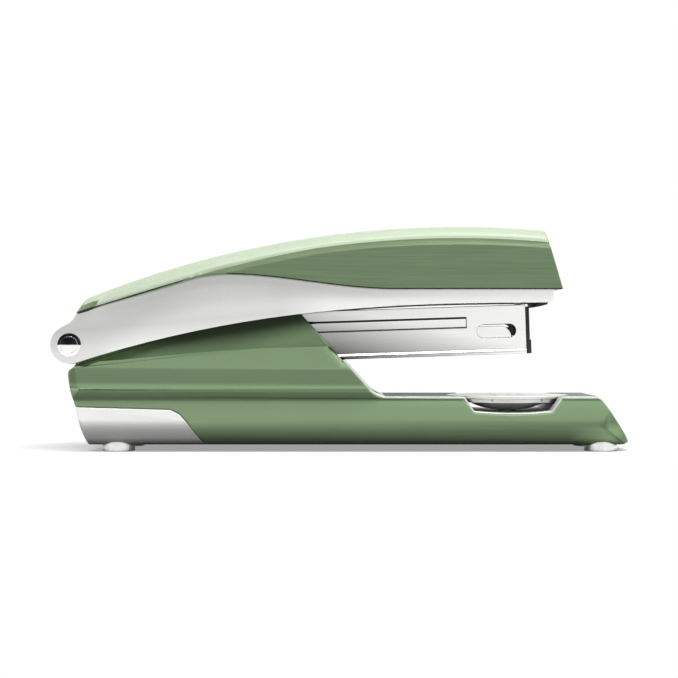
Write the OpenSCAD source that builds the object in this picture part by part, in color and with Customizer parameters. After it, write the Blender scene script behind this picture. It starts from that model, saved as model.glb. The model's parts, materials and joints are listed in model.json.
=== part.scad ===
// Desk stapler: a hinged lever arm and staple magazine over a base with a turning anvil.
// +X points to the front, +Z up. The origin lies under the middle of the length, on the table.

/* [Overall] */
// Distance from the hinge to the line where the driver strikes
reach = 122.75; // [105:0.25:150]
// Height of the hinge above the table
hinge_height = 28.7; // [26:0.1:34]
// Length of base in front of the driver line
toe_length = 28.85; // [24:0.25:40]
// Width of the base at its widest
base_width = 37; // [34:0.5:46]
// Height of the paper deck above the table
deck_height = 14.4; // [13:0.1:17]
// Upward tilt of the magazine at rest, in degrees
rest_tilt = 1.87; // [0:0.01:4]

/* [Base] */
// Height of the shell's lower edge above the table
shell_clearance = 1.7; // [1:0.1:3]
// Wall thickness of the shell
shell_wall = 2; // [1.2:0.1:2.6]
// Radius at the shell's two front corners, seen from above
toe_corner_radius = 10; // [4:0.5:14]
// Radius at the shell's two rear corners, seen from above
heel_corner_radius = 5; // [2:0.5:9]
// Radius where the flanks turn under
flank_radius = 6.7; // [4:0.1:8]
// Slope of the throat, in degrees
throat_angle = 48; // [40:0.5:60]
// Radius between throat and deck
throat_fillet = 7; // [4:0.5:9]
// Thickness of the deck sheet
deck_sheet = 0.45; // [0.3:0.05:0.8]
// Thickness of the steel chassis
chassis_sheet = 1; // [0.6:0.05:1.3]
// Thickness of the bottom plate
bottom_sheet = 1.5; // [1:0.1:2.5]
// Length of the silver heel trim along the flank
heel_length = 27.6; // [20:0.5:45]
// Height of the heel trim's upper edge
heel_height = 11.3; // [8:0.1:12]
// Radius of the feet
foot_radius = 4.4; // [3:0.1:5.5]
// Distance of each foot from the middle of the base
foot_offset = 11; // [8:0.25:12]

/* [Anvil] */
// Radius of the turning anvil disc
anvil_radius = 16.4; // [15.6:0.1:16.8]
// Thickness of the anvil disc
anvil_sheet = 0.75; // [0.5:0.05:0.9]
// Distance from the anvil's axis to the middle of each clinching pair
clinch_offset = 3.9; // [3:0.1:6]
// Depth of the finger notch below the deck
notch_depth = 4.4; // [3.6:0.1:5.5]

/* [Hinge] */
// Radius of the hinge rivet's shank
rivet_radius = 2.2; // [1.6:0.1:2.6]
// Radius of the hinge rivet's head
rivet_head_radius = 3.2; // [2.8:0.1:4]
// Thickness of the hinge rivet's head
rivet_head = 1.1; // [0.8:0.1:1.6]

/* [Magazine] */
// Width of the magazine case
magazine_width = 16; // [15:0.1:18]
// Thickness of the magazine case
magazine_sheet = 0.8; // [0.5:0.05:0.9]
// Distance from the hinge down to the magazine's lower face
magazine_drop = 6.4; // [6.2:0.1:7.2]
// Distance from the hinge up to the magazine's upper edge
magazine_rise = 7; // [6.2:0.1:8]
// Inside width of a staple
staple_inner = 11.5; // [11:0.05:12]
// Leg length of a staple
staple_leg = 6; // [4:0.1:6.2]
// Wire width of a staple, across the strip
staple_wire = 0.7; // [0.5:0.05:0.8]
// Length of the staple strip
strip_length = 52; // [20:0.5:60]
// Length of the pusher
pusher_length = 13; // [9:0.25:16]
// Turns of the pusher spring
spring_turns = 20; // [8:1:24]
// Radius of the pusher spring's wire
spring_wire = 0.25; // [0.15:0.01:0.3]
// Radius of the pusher's guide rod
rod_radius = 0.9; // [0.6:0.05:1]

/* [Arm] */
// Thickness of the lever arm
arm_sheet = 1.2; // [0.8:0.05:1.4]
// Outer width of the lever arm
arm_width = 27.6; // [27:0.1:30]
// Radius of the arm's eye round the hinge
eye_radius = 5.2; // [4.8:0.1:5.8]
// Height of the arm's lower edge above the hinge, at the front
arm_front_rise = 11.5; // [10.5:0.1:13]
// Wall of the cover
cover_wall = 1.2; // [0.8:0.05:1.3]
// Height of the cover's front above its lower edge
cover_front_height = 16.25; // [14:0.25:20]
// Height of the cover's lower edge above the hinge, at the front
cover_rise = 15.05; // [14.4:0.05:16]
// How far the cover reaches past the driver line
cover_overhang = 10.4; // [9:0.1:14]
// Depth of the shiny shoulder below the cover's crown
shoulder_depth = 3.1; // [2.4:0.1:3.4]

/* [Clearances] */
// Radial play of a pin in a moving bore
running_play = 0.05; // [0.02:0.01:0.1]
// Gap between pieces that slide past each other
side_gap = 0.6; // [0.4:0.05:0.8]
// Gap between pieces that are fitted together
fit_gap = 0.1; // [0.05:0.01:0.15]
// Radial gap of a pin that is pressed or riveted in place
press_gap = 0.02; // [0.01:0.01:0.04]

/* [Hidden] */
$fn = 48;

// Length from the hinge to the base's front tip, and the hinge's place that centres the whole length
toe_tip = reach + toe_length;
hinge_x = (eye_radius - toe_tip) / 2;
mid = base_width / 2;

// Half widths of the layers round the magazine, from the inside out
case_half = magazine_width / 2;
bead = 0.4;
cheek_in = case_half + bead + side_gap;
cheek_out = cheek_in + chassis_sheet;
hump_in = cheek_out + fit_gap;
arm_half = arm_width / 2;
arm_in = arm_half - arm_sheet;
hump_out = arm_in - side_gap - fit_gap;
ledge_in = arm_half + side_gap;
ledge_rim = 2.2;
cover_half = arm_half + 2 * fit_gap + cover_wall + fit_gap;

// Heights of the base
floor_top = shell_clearance + bottom_sheet;
deck_top = deck_height + deck_sheet;
crease_height = deck_height - 0.5;
band_height = crease_height + 3.3;
ledge_low = hinge_height - 6;
ledge_high = hinge_height - 0.4;
ledge_step = 0.22;
heel_top = hinge_height - eye_radius - 0.6;
cheek_low = heel_top - 1.9;

// The throat: a slope down from under the arm, a fillet, and the flat deck
deck_start = reach - 36.75;
throat_run = throat_fillet * tan(throat_angle / 2);
throat_foot = [deck_start - throat_run, deck_height];
throat_top_z = hinge_height + 12.3;
throat_top = [throat_foot[0] - (throat_top_z - deck_height) / tan(throat_angle), throat_top_z];
fillet_centre = [deck_start, deck_height + throat_fillet];
liner_top_z = hinge_height - 4.2;
liner_top = [throat_foot[0] - (liner_top_z - deck_height) / tan(throat_angle), liner_top_z];

// The anvil's place and the notch through which a finger turns it
anvil_x = reach - 3.25;
notch_top = 13.3;
notch_low = 10.6;
notch_floor = deck_height - notch_depth;
notch_sag = 0.4;
front_edge = toe_tip - 9;
toe_drop = 0.7;

// The magazine's inner heights, measured from the hinge
case_floor = -magazine_drop + magazine_sheet;
track_sheet = 0.5;
track_floor = case_floor + track_sheet;
crown_low = track_floor + fit_gap + staple_leg - 0.5;
crown_top = crown_low + 0.5;
core_half = staple_inner / 2 - 0.15;
leg_out = staple_inner / 2 + staple_wire;
case_end = reach + 1.25;
nose_sheet = 1;
strip_end = reach - 0.65;
strip_start = strip_end - strip_length;
pusher_start = strip_start - fit_gap - pusher_length;
block_end = 9;
rod_w = crown_top + 1.6;
coil_radius = rod_radius + 0.45 + spring_wire;

// The arm and the cover, measured from the hinge
cover_tip = reach + cover_overhang;
crown_front = [cover_tip - 4.8, cover_rise + cover_front_height];
crown_rear = [5, 13];
edge_rear = [2, 8.5];
edge_crest = [42, 19.1];
edge_flat_x = 88;
web_drop = shoulder_depth + 0.9;
plate_drop = shoulder_depth + 0.5;
arm_tip = cover_tip - 2.5;
blade_sheet = 0.5;
blade_front = reach + 0.25;
blade_low = crown_top + 0.9;
holder_low = magazine_rise + 8.8;
holder_height = 4;
rivet_rise = 2;
driver_rivet_y = 3.5;
driver_rivet_radius = 1;

white_steel = [0.88, 0.88, 0.86];
satin_steel = [0.78, 0.79, 0.78];
dark_steel = [0.22, 0.22, 0.23];
leaf_green = [0.45, 0.55, 0.41];
spring_steel = [0.55, 0.56, 0.58];

// Points along an arc about c, from angle a to angle b
function arc(c, r, a, b, steps = 8) =
  [for (i = [0:steps]) c + r * [cos(a + (b - a) * i / steps), sin(a + (b - a) * i / steps)]];

// A point on a cubic curve with four control points
function cubic(p, t) =
  pow(1 - t, 3) * p[0] + 3 * t * pow(1 - t, 2) * p[1] + 3 * t * t * (1 - t) * p[2] + pow(t, 3) * p[3];

// A smooth step from 0 at a to 1 at b
function ease(a, b, x) =
  let (s = max(0, min(1, (x - a) / (b - a))))
  s * s * (3 - 2 * s);

function unit(v) = v / norm(v);
function left_of(v) = [-v[1], v[0]];

// A path moved sideways by d, with mitred corners
function beside(path, d) =
  [for (i = [0:len(path) - 1])
    let (
      before = unit(path[max(i, 1)] - path[max(i, 1) - 1]),
      after = unit(path[min(i, len(path) - 2) + 1] - path[min(i, len(path) - 2)]),
      m = unit(left_of(before) + left_of(after))
    )
    path[i] + m * d / (m * left_of(before))];

function backwards(path) = [for (i = [len(path) - 1:-1:0]) path[i]];
function mirrored(path) = [for (p = backwards(path)) [-p[0], p[1]]];

// Side outlines are drawn in X and Z and given a width in Y
module across(y0, y1) {
  translate([0, y1, 0])
    rotate([90, 0, 0])
      linear_extrude(y1 - y0)
        children();
}

// Cross sections are drawn in Y and Z and given a length in X
module along(x0, x1) {
  translate([x0, 0, 0])
    rotate([90, 0, 90])
      linear_extrude(x1 - x0)
        children();
}

module both_sides() {
  children();
  mirror([0, 1, 0]) children();
}

// A round bar along Y from y0 to y1
module bar_y(r, y0, y1) {
  translate([0, y1, 0])
    rotate([90, 0, 0])
      cylinder(r = r, h = y1 - y0);
}

module base_frame() {
  translate([hinge_x, 0, 0]) children();
}

module hinge_frame() {
  translate([hinge_x, 0, hinge_height]) children();
}

module magazine_frame() {
  hinge_frame() rotate([0, -rest_tilt, 0]) children();
}

// Half of the finger notch, from the deck down to its sagging floor
notch_side = [
  [notch_top, deck_height],
  [notch_low + 0.6, notch_floor + notch_sag + 0.9],
  [notch_low + 0.1, notch_floor + notch_sag + 0.2],
  [notch_low - 0.7, notch_floor + notch_sag],
  [notch_low / 2, notch_floor + notch_sag / 4],
  [notch_low / 6, notch_floor]
];

// The base's side outline, with the throat's slope, the deck and the notch
deck_path = concat(
  [liner_top],
  arc(fillet_centre, throat_fillet, 270 - throat_angle, 270, 6),
  [
    for (p = notch_side) [anvil_x - p[0], p[1]],
    for (p = backwards(notch_side)) [anvil_x + p[0], p[1]],
    [front_edge, deck_height]
  ]
);
rear_path = [
  [5.2, shell_clearance],
  [3.8, shell_clearance + 4.6],
  [2.3, deck_height - 2.4],
  [0.6, deck_height + 2.1],
  [-0.3, heel_top - 2.2],
  [0, heel_top - 1.1],
  [1.9, heel_top]
];
front_path = [
  [front_edge + 0.9, deck_height - 0.6],
  [toe_tip, shell_clearance + toe_drop],
  [toe_tip - 2.5, shell_clearance]
];
ledge_rear = [5.2, heel_top + 0.1];
ledge_rise = ledge_high - ledge_rear[1];
ledge_front = throat_foot[0] - (ledge_high - deck_height) / tan(throat_angle);
flare_path = concat(
  rear_path,
  [
    ledge_rear,
    ledge_rear + [3.2, ledge_rise * 0.24],
    ledge_rear + [11.5, ledge_rise * 0.36],
    ledge_rear + [22.3, ledge_rise * 0.56],
    ledge_rear + [35.7, ledge_rise * 0.78],
    ledge_rear + [46, ledge_rise * 0.9],
    [ledge_front, ledge_high]
  ],
  deck_path,
  front_path
);

// The base's cross section: turned-under flank, crease, flared band, step and leaning ledge
flank_half = concat(
  [[0, shell_clearance]],
  arc([mid - flank_radius, shell_clearance + flank_radius], flank_radius, -90, 0),
  [
    [mid - 1.5, crease_height],
    [mid - 0.9, crease_height + 1.1],
    [mid - 0.35, crease_height + 2.3],
    [mid - 0.15, band_height - 0.3],
    [mid - 0.45, band_height + 0.9],
    [mid - 0.7, ledge_low - 4 * ledge_step],
    [mid - 0.7 - ledge_step, ledge_low],
    [ledge_in + ledge_rim, ledge_high],
    [ledge_in + ledge_rim, throat_top_z]
  ]
);
deck_half = mid - 1.5;

module base_plan(inset) {
  rear_r = max(heel_corner_radius - inset, 0.5);
  front_r = max(toe_corner_radius - inset, 0.5);
  rear_x = rear_path[4][0] + inset;
  front_x = toe_tip - inset;
  half = mid - inset;
  side = concat(
    arc([front_x - front_r, half - front_r], front_r, 0, 90),
    arc([rear_x + rear_r, half - rear_r], rear_r, 90, 180)
  );
  translate([0, 0, -1])
    linear_extrude(throat_top_z + 1)
      polygon(concat(side, [for (p = backwards(side)) [p[0], -p[1]]]));
}

module base_section() {
  along(-5, toe_tip + 5)
    polygon(concat(flank_half, mirrored(flank_half)));
}

module base_body() {
  intersection() {
    across(-mid, mid) polygon(flare_path);
    base_section();
    base_plan(0);
  }
}

// The hump's two walls stand between the arm's plates
module hump_wall() {
  across(hump_in, hump_out)
    polygon([
      [1, heel_top - 2],
      [1, heel_top + 0.3],
      [6, heel_top + 2.5],
      [14, hinge_height + 4.3],
      throat_top,
      liner_top,
      [liner_top[0], heel_top - 2]
    ]);
}

// The slots beside the hump that the arm's plates go down into
module plate_slots() {
  both_sides()
    across(hump_out, ledge_in)
      polygon([
        [-5, heel_top],
        [-5, throat_top_z],
        [deck_start, throat_top_z],
        [deck_start, heel_top]
      ]);
}

// The hollow under the deck, the hollow behind the throat and the magazine's slot
module base_hollow() {
  inner = mid - 1.5 - shell_wall;
  roof = deck_height - shell_wall;
  skin_x = shell_wall / sin(throat_angle);
  rib_x = liner_top[0] - skin_x - 3;
  across(-inner, inner)
    polygon([
      [rear_path[1][0] + shell_wall, floor_top],
      [rear_path[2][0] + shell_wall, roof],
      [front_edge - shell_wall, roof],
      [toe_tip - shell_wall - 5.5, floor_top]
    ]);
  across(-inner, inner)
    polygon([
      [rear_path[2][0] + shell_wall, roof - 1],
      [rear_path[4][0] + shell_wall + 1.5, ledge_low - shell_wall - 0.6],
      [rib_x, ledge_low - shell_wall - 0.6],
      [rib_x + (ledge_low - shell_wall - 0.6 - roof) / tan(throat_angle), roof],
      [rib_x, roof - 1]
    ]);
  across(-hump_in, hump_in)
    polygon([
      [rear_path[2][0] + shell_wall, roof - 1],
      [rear_path[2][0] + shell_wall, cheek_low],
      [-10, cheek_low],
      [-10, throat_top_z + 10],
      [deck_start - 2, throat_top_z + 10],
      [deck_start - 2, roof - 1]
    ]);
  across(-(foot_offset + 0.3), foot_offset + 0.3)
    polygon([
      [plate_rear - fit_gap, -1],
      [plate_rear - fit_gap, floor_top + 0.5],
      [plate_front + fit_gap, floor_top + 0.5],
      [plate_front + fit_gap, -1]
    ]);
  across(-inner, inner)
    polygon([
      [anvil_x - anvil_radius - 1, roof - 1],
      [anvil_x - anvil_radius - 1, deck_height + 5],
      [anvil_x + anvil_radius + 1, deck_height + 5],
      [anvil_x + anvil_radius + 1, roof - 1]
    ]);
}

plate_rear = rear_path[1][0] + shell_wall + 2;
plate_front = toe_tip - shell_wall - 6;

// The heel trim's outline on the flank, grown by a gap on the shell's side
module heel_zone(gap) {
  top = heel_height + gap;
  front = heel_length + gap;
  across(-mid - 1, mid + 1)
    polygon([
      [-5, -1],
      [-5, top + 0.9],
      [front, top],
      [front + 2.4, top - 1.2],
      [front + 4, top - 2.8],
      [front + 9.1, top - 9.4],
      [front + 9.1, -1]
    ]);
}

module base_shell() {
  color(leaf_green)
    base_frame()
      difference() {
        union() {
          base_body();
          both_sides() hump_wall();
        }
        base_hollow();
        plate_slots();
        heel_zone(fit_gap);
      }
}

module heel_trim() {
  color(satin_steel)
    base_frame()
      difference() {
        intersection() {
          base_body();
          heel_zone(0);
        }
        base_hollow();
      }
}

screw_radius = 1.2;
screw_spots = [[plate_rear + 5, 0], [deck_start - 14, 0]];

module bottom_plate() {
  color(dark_steel)
    base_frame()
      difference() {
        translate([plate_rear, -foot_offset - 0.2, shell_clearance])
          cube([plate_front - plate_rear, 2 * foot_offset + 0.4, bottom_sheet]);
        for (s = screw_spots)
          translate([s[0], s[1], -1])
            cylinder(r = screw_radius + fit_gap, h = floor_top + 2);
      }
}

// Pan-head screws that hold the bottom plate to the chassis
module bottom_screws() {
  head = 0.6;
  color(spring_steel)
    base_frame()
      for (s = screw_spots)
        translate([s[0], s[1], shell_clearance - head])
          difference() {
            union() {
              cylinder(r = 2.2, h = head);
              cylinder(r = screw_radius, h = head + bottom_sheet + chassis_sheet + 1.5);
            }
            for (turn = [0, 90])
              rotate([0, 0, turn])
                translate([-1.3, -0.2, -1])
                  cube([2.6, 0.4, 1.3]);
          }
}

// A pair of round feet, trimmed to the flank that turns up past them
module foot_pair(x) {
  base_frame()
    difference() {
      both_sides()
        translate([x, foot_offset, 0])
          cylinder(r = foot_radius, h = shell_clearance + 2);
      base_body();
    }
}

module rear_feet() {
  color(white_steel) foot_pair(13);
}

module front_feet() {
  color(white_steel) foot_pair(toe_tip - 7.8);
}

// The chassis: a channel whose cheeks carry the hinge and back the throat
module base_chassis() {
  low = floor_top + chassis_sheet;
  rear = rear_path[1][0] + shell_wall + fit_gap;
  front = deck_start - 8;
  cheek = [
    [rear, floor_top],
    [rear, cheek_low],
    [-eye_radius * 0.6, hinge_height - eye_radius * 0.6],
    [eye_radius * 0.5, hinge_height + eye_radius * 0.6],
    [14, hinge_height + 3.5],
    throat_top - [1.5, 1],
    liner_top - [1, 0],
    throat_foot - [2, 0],
    throat_foot - [2, shell_wall + 1],
    [front, floor_top]
  ];
  color(white_steel)
    base_frame()
      difference() {
        union() {
          both_sides() {
            across(cheek_in, cheek_out) polygon(cheek);
            translate([0, 0, hinge_height]) bar_y(eye_radius - 0.5, cheek_in, cheek_out);
          }
          translate([rear, -cheek_out, floor_top])
            cube([front - rear, 2 * cheek_out, chassis_sheet]);
        }
        translate([0, 0, hinge_height])
          bar_y(rivet_radius + press_gap, -mid, mid);
        for (s = screw_spots)
          translate([s[0], s[1], 0])
            cylinder(r = screw_radius + press_gap, h = low + 2);
      }
}

// Pressed sheet that lines the throat and the deck, with the anvil's pocket
module deck_plate() {
  color(white_steel)
    base_frame()
      difference() {
        intersection() {
          across(-deck_half, deck_half)
            polygon(concat(deck_path, backwards(beside(deck_path, deck_sheet))));
          base_section();
          base_plan(1.2);
        }
        translate([anvil_x, 0, deck_height - anvil_sheet - 1])
          cylinder(r = anvil_radius + 0.35, h = 10);
        translate([anvil_x, 0, 0])
          cylinder(r = post_radius + running_play, h = deck_height);
        translate([-10, -cheek_in, deck_height + 0.6])
          cube([deck_start + 10, 2 * cheek_in, hinge_height]);
      }
}

post_radius = 2.5;
hub_radius = anvil_radius - 0.8;
tier = 1.05;
disc_low = deck_top - anvil_sheet;

module anvil_frame() {
  translate([hinge_x + anvil_x, 0, 0]) children();
}

// The disc has two pairs of clinching grooves, one for closed and one for open staples
module anvil_plate() {
  groove = 0.35;
  leg = staple_inner / 2 + staple_wire / 2;
  color(white_steel)
    anvil_frame()
      difference() {
        translate([0, 0, disc_low]) cylinder(r = anvil_radius, h = anvil_sheet, $fn = 96);
        for (y = [-leg + 1.6, leg - 1.6])
          translate([clinch_offset, y, deck_top])
            rotate([90, 0, 0])
              translate([0, 0, -2.2])
                cylinder(r = groove, h = 4.4);
        for (y = [-leg - 1.2, leg + 1.2])
          translate([-clinch_offset, y, deck_top])
            rotate([90, 0, 0])
              translate([0, 0, -2.2])
                cylinder(r = groove, h = 4.4);
        translate([0, 0, disc_low - 1])
          cylinder(r = post_radius - 1, h = anvil_sheet + 2);
      }
}

// The finger wheel under the disc, with a domed knob
module anvil_hub() {
  knob = 10;
  neck = knob - 1.2;
  dome_top = disc_low - tier - 0.5;
  dome_low = notch_floor + deck_sheet + 0.35;
  steps = 8;
  color(satin_steel)
    anvil_frame()
      rotate_extrude($fn = 96)
        polygon(concat(
          [
            [post_radius, dome_low],
            [post_radius, disc_low],
            [hub_radius, disc_low],
            [hub_radius, disc_low - tier],
            [neck, disc_low - tier],
            [neck, dome_top]
          ],
          [for (i = [0:steps - 1])
            let (s = i / steps)
            [knob - (knob - post_radius) * s, dome_top + (dome_low - dome_top) * s * (2 - s)]]
        ));
}

module anvil_post() {
  color(dark_steel)
    anvil_frame()
      union() {
        translate([0, 0, notch_floor - 1.6])
          cylinder(r = post_radius, h = disc_low - notch_floor + 1.6);
        translate([0, 0, disc_low - 0.1])
          cylinder(r = post_radius - 1, h = anvil_sheet - 0.1);
      }
}

module anvil_retainer() {
  color(spring_steel)
    anvil_frame()
      translate([0, 0, notch_floor - 0.2 - 0.8])
        difference() {
          cylinder(r = post_radius + 2.4, h = 0.8);
          translate([0, 0, -1]) cylinder(r = post_radius, h = 3);
        }
}

// Tubular rivet whose dished heads hold the arm's eyes
module hinge_rivet() {
  face = arm_half + 0.12;
  color(white_steel)
    hinge_frame()
      rotate([90, 0, 0])
        rotate_extrude()
          polygon([
            [0, -face - rivet_head + 0.7],
            [rivet_radius, -face - rivet_head + 0.35],
            [rivet_radius + 0.3, -face - rivet_head],
            [rivet_head_radius, -face - rivet_head + 0.3],
            [rivet_head_radius, -face],
            [rivet_radius, -face],
            [rivet_radius, face],
            [rivet_head_radius, face],
            [rivet_head_radius, face + rivet_head - 0.3],
            [rivet_radius + 0.3, face + rivet_head],
            [rivet_radius, face + rivet_head - 0.35],
            [0, face + rivet_head - 0.7]
          ]);
}

// A ring on the hinge rivet between two layers
module hinge_ring(r, y0, y1) {
  hinge_frame()
    both_sides()
      difference() {
        bar_y(r, y0, y1);
        bar_y(rivet_radius + press_gap, y0 - 1, y1 + 1);
      }
}

module arm_spacers() {
  color(dark_steel) hinge_ring(eye_radius - 1, cheek_out, arm_in - fit_gap);
}

module magazine_washers() {
  color(spring_steel) hinge_ring(eye_radius - 1.4, case_half + fit_gap, cheek_in);
}

leaf_half = 5;
leaf_sheet = 0.6;
leaf_rivet_y = 2.5;
leaf_rivet_radius = 0.95;
leaf_rivet_head = 0.6;

// Leaf spring that lifts the magazine off the base
return_tip_x = 52;
return_rivet_x = 18;
return_rear = screw_spots[0][0] + screw_radius + side_gap;
return_tip_z = hinge_height + return_tip_x * tan(rest_tilt) - magazine_drop - 0.3 - leaf_sheet;
return_low = floor_top + chassis_sheet;
return_path = [
  [return_rear, return_low],
  [24, return_low],
  [27, return_low + 0.8],
  [return_tip_x - 6, return_tip_z - 0.9],
  [return_tip_x - 2, return_tip_z],
  [return_tip_x + 2, return_tip_z - 0.2]
];

module return_spring() {
  color(spring_steel)
    base_frame()
      difference() {
        across(-leaf_half, leaf_half)
          polygon(concat(return_path, backwards(beside(return_path, leaf_sheet))));
        translate([return_rivet_x, 0, 0])
          both_sides()
            translate([0, leaf_rivet_y, 0])
              cylinder(r = leaf_rivet_radius + press_gap, h = return_low + 3);
      }
}

module return_spring_rivets() {
  color(dark_steel)
    base_frame()
      translate([return_rivet_x, 0, return_low])
        both_sides()
          translate([0, leaf_rivet_y, 0]) {
            cylinder(r = leaf_rivet_radius, h = leaf_sheet + leaf_rivet_head);
            translate([0, 0, leaf_sheet]) cylinder(r = 2 * leaf_rivet_radius, h = leaf_rivet_head);
          }
}

// Channel that holds the staples, with a pressed groove and a window in each wall
module magazine_case() {
  wall_in = case_half - magazine_sheet;
  groove = magazine_sheet / 2;
  groove_start = 50;
  groove_low = 1.15;
  groove_high = 4.1;
  rear = eye_radius - 0.4;
  side = [
    [0, -rear],
    [block_end, -magazine_drop],
    [case_end, -magazine_drop],
    [case_end, magazine_rise],
    [block_end, magazine_rise],
    [0, rear]
  ];
  color(white_steel)
    magazine_frame()
      difference() {
        union() {
          both_sides() {
            across(wall_in, case_half) polygon(side);
            bar_y(rear, wall_in, case_half);
            along(block_end + 4, case_end)
              polygon([
                [case_half - 0.1, -magazine_drop],
                [case_half + 0.2, -magazine_drop],
                [case_half + bead, -magazine_drop + 0.3],
                [case_half + bead, -magazine_drop + 0.9],
                [case_half, -magazine_drop + 1.4],
                [case_half - 0.1, -magazine_drop + 1.4]
              ]);
          }
          translate([block_end, -case_half, -magazine_drop])
            cube([case_end - block_end, 2 * case_half, magazine_sheet]);
        }
        bar_y(rivet_radius + running_play, -mid, mid);
        both_sides()
          along(groove_start, reach - 15)
            polygon([
              [case_half - groove, groove_low + 0.2],
              [case_half - groove, groove_high - 0.45],
              [case_half + 0.1, groove_high + 0.1],
              [case_half + 0.1, groove_low - 0.1]
            ]);
        across(-mid, mid) {
          window = 1.8;
          centre = reach - 6.85;
          slot_outline(centre, 0.05, 10.65, window);
        }
        translate([strip_end, -leg_out - 0.3, -magazine_drop - 1])
          cube([10, 2 * leg_out + 0.6, magazine_sheet + 2]);
      }
}

// A slot with round ends, as a bar and two circles
module slot_outline(x, z, length, r) {
  translate([x - length / 2 + r, z - r]) square([length - 2 * r, 2 * r]);
  for (end = [-1, 1])
    translate([x + end * (length / 2 - r), z]) circle(r);
}

// Folded track: two outer walls, and a core that the staples straddle
module staple_track() {
  outer = case_half - magazine_sheet - fit_gap;
  lip = outer - track_sheet;
  start = block_end + 1;
  core_top = crown_low - 0.05;
  core_wall = 0.8;
  color(satin_steel)
    magazine_frame()
      difference() {
        union() {
          along(start, strip_end)
            polygon([
              [-outer, case_floor],
              [outer, case_floor],
              [outer, track_floor],
              [-outer, track_floor]
            ]);
          along(start, strip_end)
            polygon([
              [-core_half, case_floor],
              [core_half, case_floor],
              [core_half, core_top],
              [-core_half, core_top]
            ]);
          both_sides()
            across(lip, outer) {
              translate([start, case_floor]) square([reach - 5.6 - start, crown_low - case_floor]);
              translate([reach - 5.6, (case_floor + crown_low) / 2]) circle((crown_low - case_floor) / 2);
            }
        }
        along(start - 1, strip_end + 1)
          polygon([
            [-core_half + core_wall, track_floor],
            [core_half - core_wall, track_floor],
            [core_half - core_wall, core_top - core_wall],
            [-core_half + core_wall, core_top - core_wall]
          ]);
      }
}

// Dark plate that closes the magazine's nose, with a small paper stop
module nose_plate() {
  stop_half = 4;
  stop_height = 3.8;
  stop_depth = 0.8;
  color(dark_steel)
    magazine_frame()
      union() {
        translate([case_end, -case_half, -magazine_drop])
          cube([nose_sheet, 2 * case_half, magazine_drop + magazine_rise - 0.6]);
        translate([case_end + nose_sheet - 0.1, -stop_half, -magazine_drop])
          cube([stop_depth + 0.1, 2 * stop_half, stop_height]);
      }
}

// Block between the case walls that turns on the rivet and carries the guide rod
module hinge_block() {
  half = case_half - magazine_sheet - fit_gap;
  r = eye_radius - 0.6;
  color(dark_steel)
    magazine_frame()
      difference() {
        union() {
          bar_y(r, -half, half);
          translate([0, -half, -r]) cube([block_end, 2 * half, 2 * r]);
        }
        bar_y(rivet_radius + running_play, -mid, mid);
        translate([block_end - 5, 0, rod_w])
          rotate([0, 90, 0]) cylinder(r = rod_radius, h = 10);
      }
}

module guide_rod() {
  color(spring_steel)
    magazine_frame()
      translate([block_end - 5, 0, rod_w])
        rotate([0, 90, 0])
          cylinder(r = rod_radius, h = strip_start - 1 - block_end + 5);
}

// The glued strip of staples: crown and two legs
module staple_strip() {
  half = staple_inner / 2;
  color(satin_steel)
    magazine_frame()
      along(strip_start, strip_end)
        polygon([
          [-leg_out, track_floor + fit_gap],
          [-half, track_floor + fit_gap],
          [-half, crown_low],
          [half, crown_low],
          [half, track_floor + fit_gap],
          [leg_out, track_floor + fit_gap],
          [leg_out, crown_top],
          [-leg_out, crown_top]
        ]);
}

module staple_pusher() {
  low = track_floor + 0.3;
  top = rod_w + rod_radius + 1.2;
  half = staple_inner / 2;
  color(dark_steel)
    magazine_frame()
      difference() {
        along(pusher_start, pusher_start + pusher_length)
          polygon([
            [-leg_out, low],
            [-half, low],
            [-half, crown_low + fit_gap],
            [half, crown_low + fit_gap],
            [half, low],
            [leg_out, low],
            [leg_out, top - 1],
            [leg_out - 1, top],
            [-leg_out + 1, top],
            [-leg_out, top - 1]
          ]);
        translate([pusher_start - 1, 0, rod_w])
          rotate([0, 90, 0]) cylinder(r = rod_radius + running_play, h = pusher_length + 2);
      }
}

// The pusher spring is one wire wound round the guide rod, with straight ends
coil_start = block_end;
coil_end = pusher_start;
coil_lead = 2 * spring_wire;
coil_steps = 8 * spring_turns;
coil_pitch = (coil_end - coil_start - 2 * coil_lead) / spring_turns;
coil_points = concat(
  [[coil_start, coil_radius, 0]],
  [for (i = [0:coil_steps])
    let (a = 360 * i / 8)
    [coil_start + coil_lead + coil_pitch * i / 8, coil_radius * cos(a), coil_radius * sin(a)]],
  [[coil_end, coil_radius, 0]]
);
wire_ring = [for (k = [0:5]) spring_wire * [cos(60 * k), sin(60 * k)]];

// The tube's rings: the first and last lie square to the faces they meet
function coil_ring(i) =
  let (
    last = len(coil_points) - 1,
    p = coil_points[i],
    ahead = (i == 0 || i == last) ? [1, 0, 0] : unit(coil_points[i + 1] - coil_points[i - 1]),
    out = unit([0, p[1], p[2]]),
    side = unit(cross(ahead, out)),
    up = cross(side, ahead)
  )
  [for (w = wire_ring) p + w[0] * up + w[1] * side];

// Least distance between turns, from the middle of the wire, less its thickness
coil_gap = min([for (i = [0:coil_steps - 8])
  norm(coil_points[i + 1] - coil_points[i + 9])]) - 2 * spring_wire;
echo(pusher_spring_least_gap = coil_gap);

module tube_of(rings) {
  sides = len(rings[0]);
  last = len(rings) - 1;
  polyhedron(
    points = [for (r = rings) each r],
    faces = concat(
      [for (k = [1:sides - 2]) [0, k, k + 1]],
      [for (k = [1:sides - 2]) [last * sides, last * sides + k + 1, last * sides + k]],
      [for (i = [0:last - 1]) for (k = [0:sides - 1])
        [i * sides + k, (i + 1) * sides + k, i * sides + (k + 1) % sides]],
      [for (i = [0:last - 1]) for (k = [0:sides - 1])
        [i * sides + (k + 1) % sides, (i + 1) * sides + k, (i + 1) * sides + (k + 1) % sides]]
    )
  );
}

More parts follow.
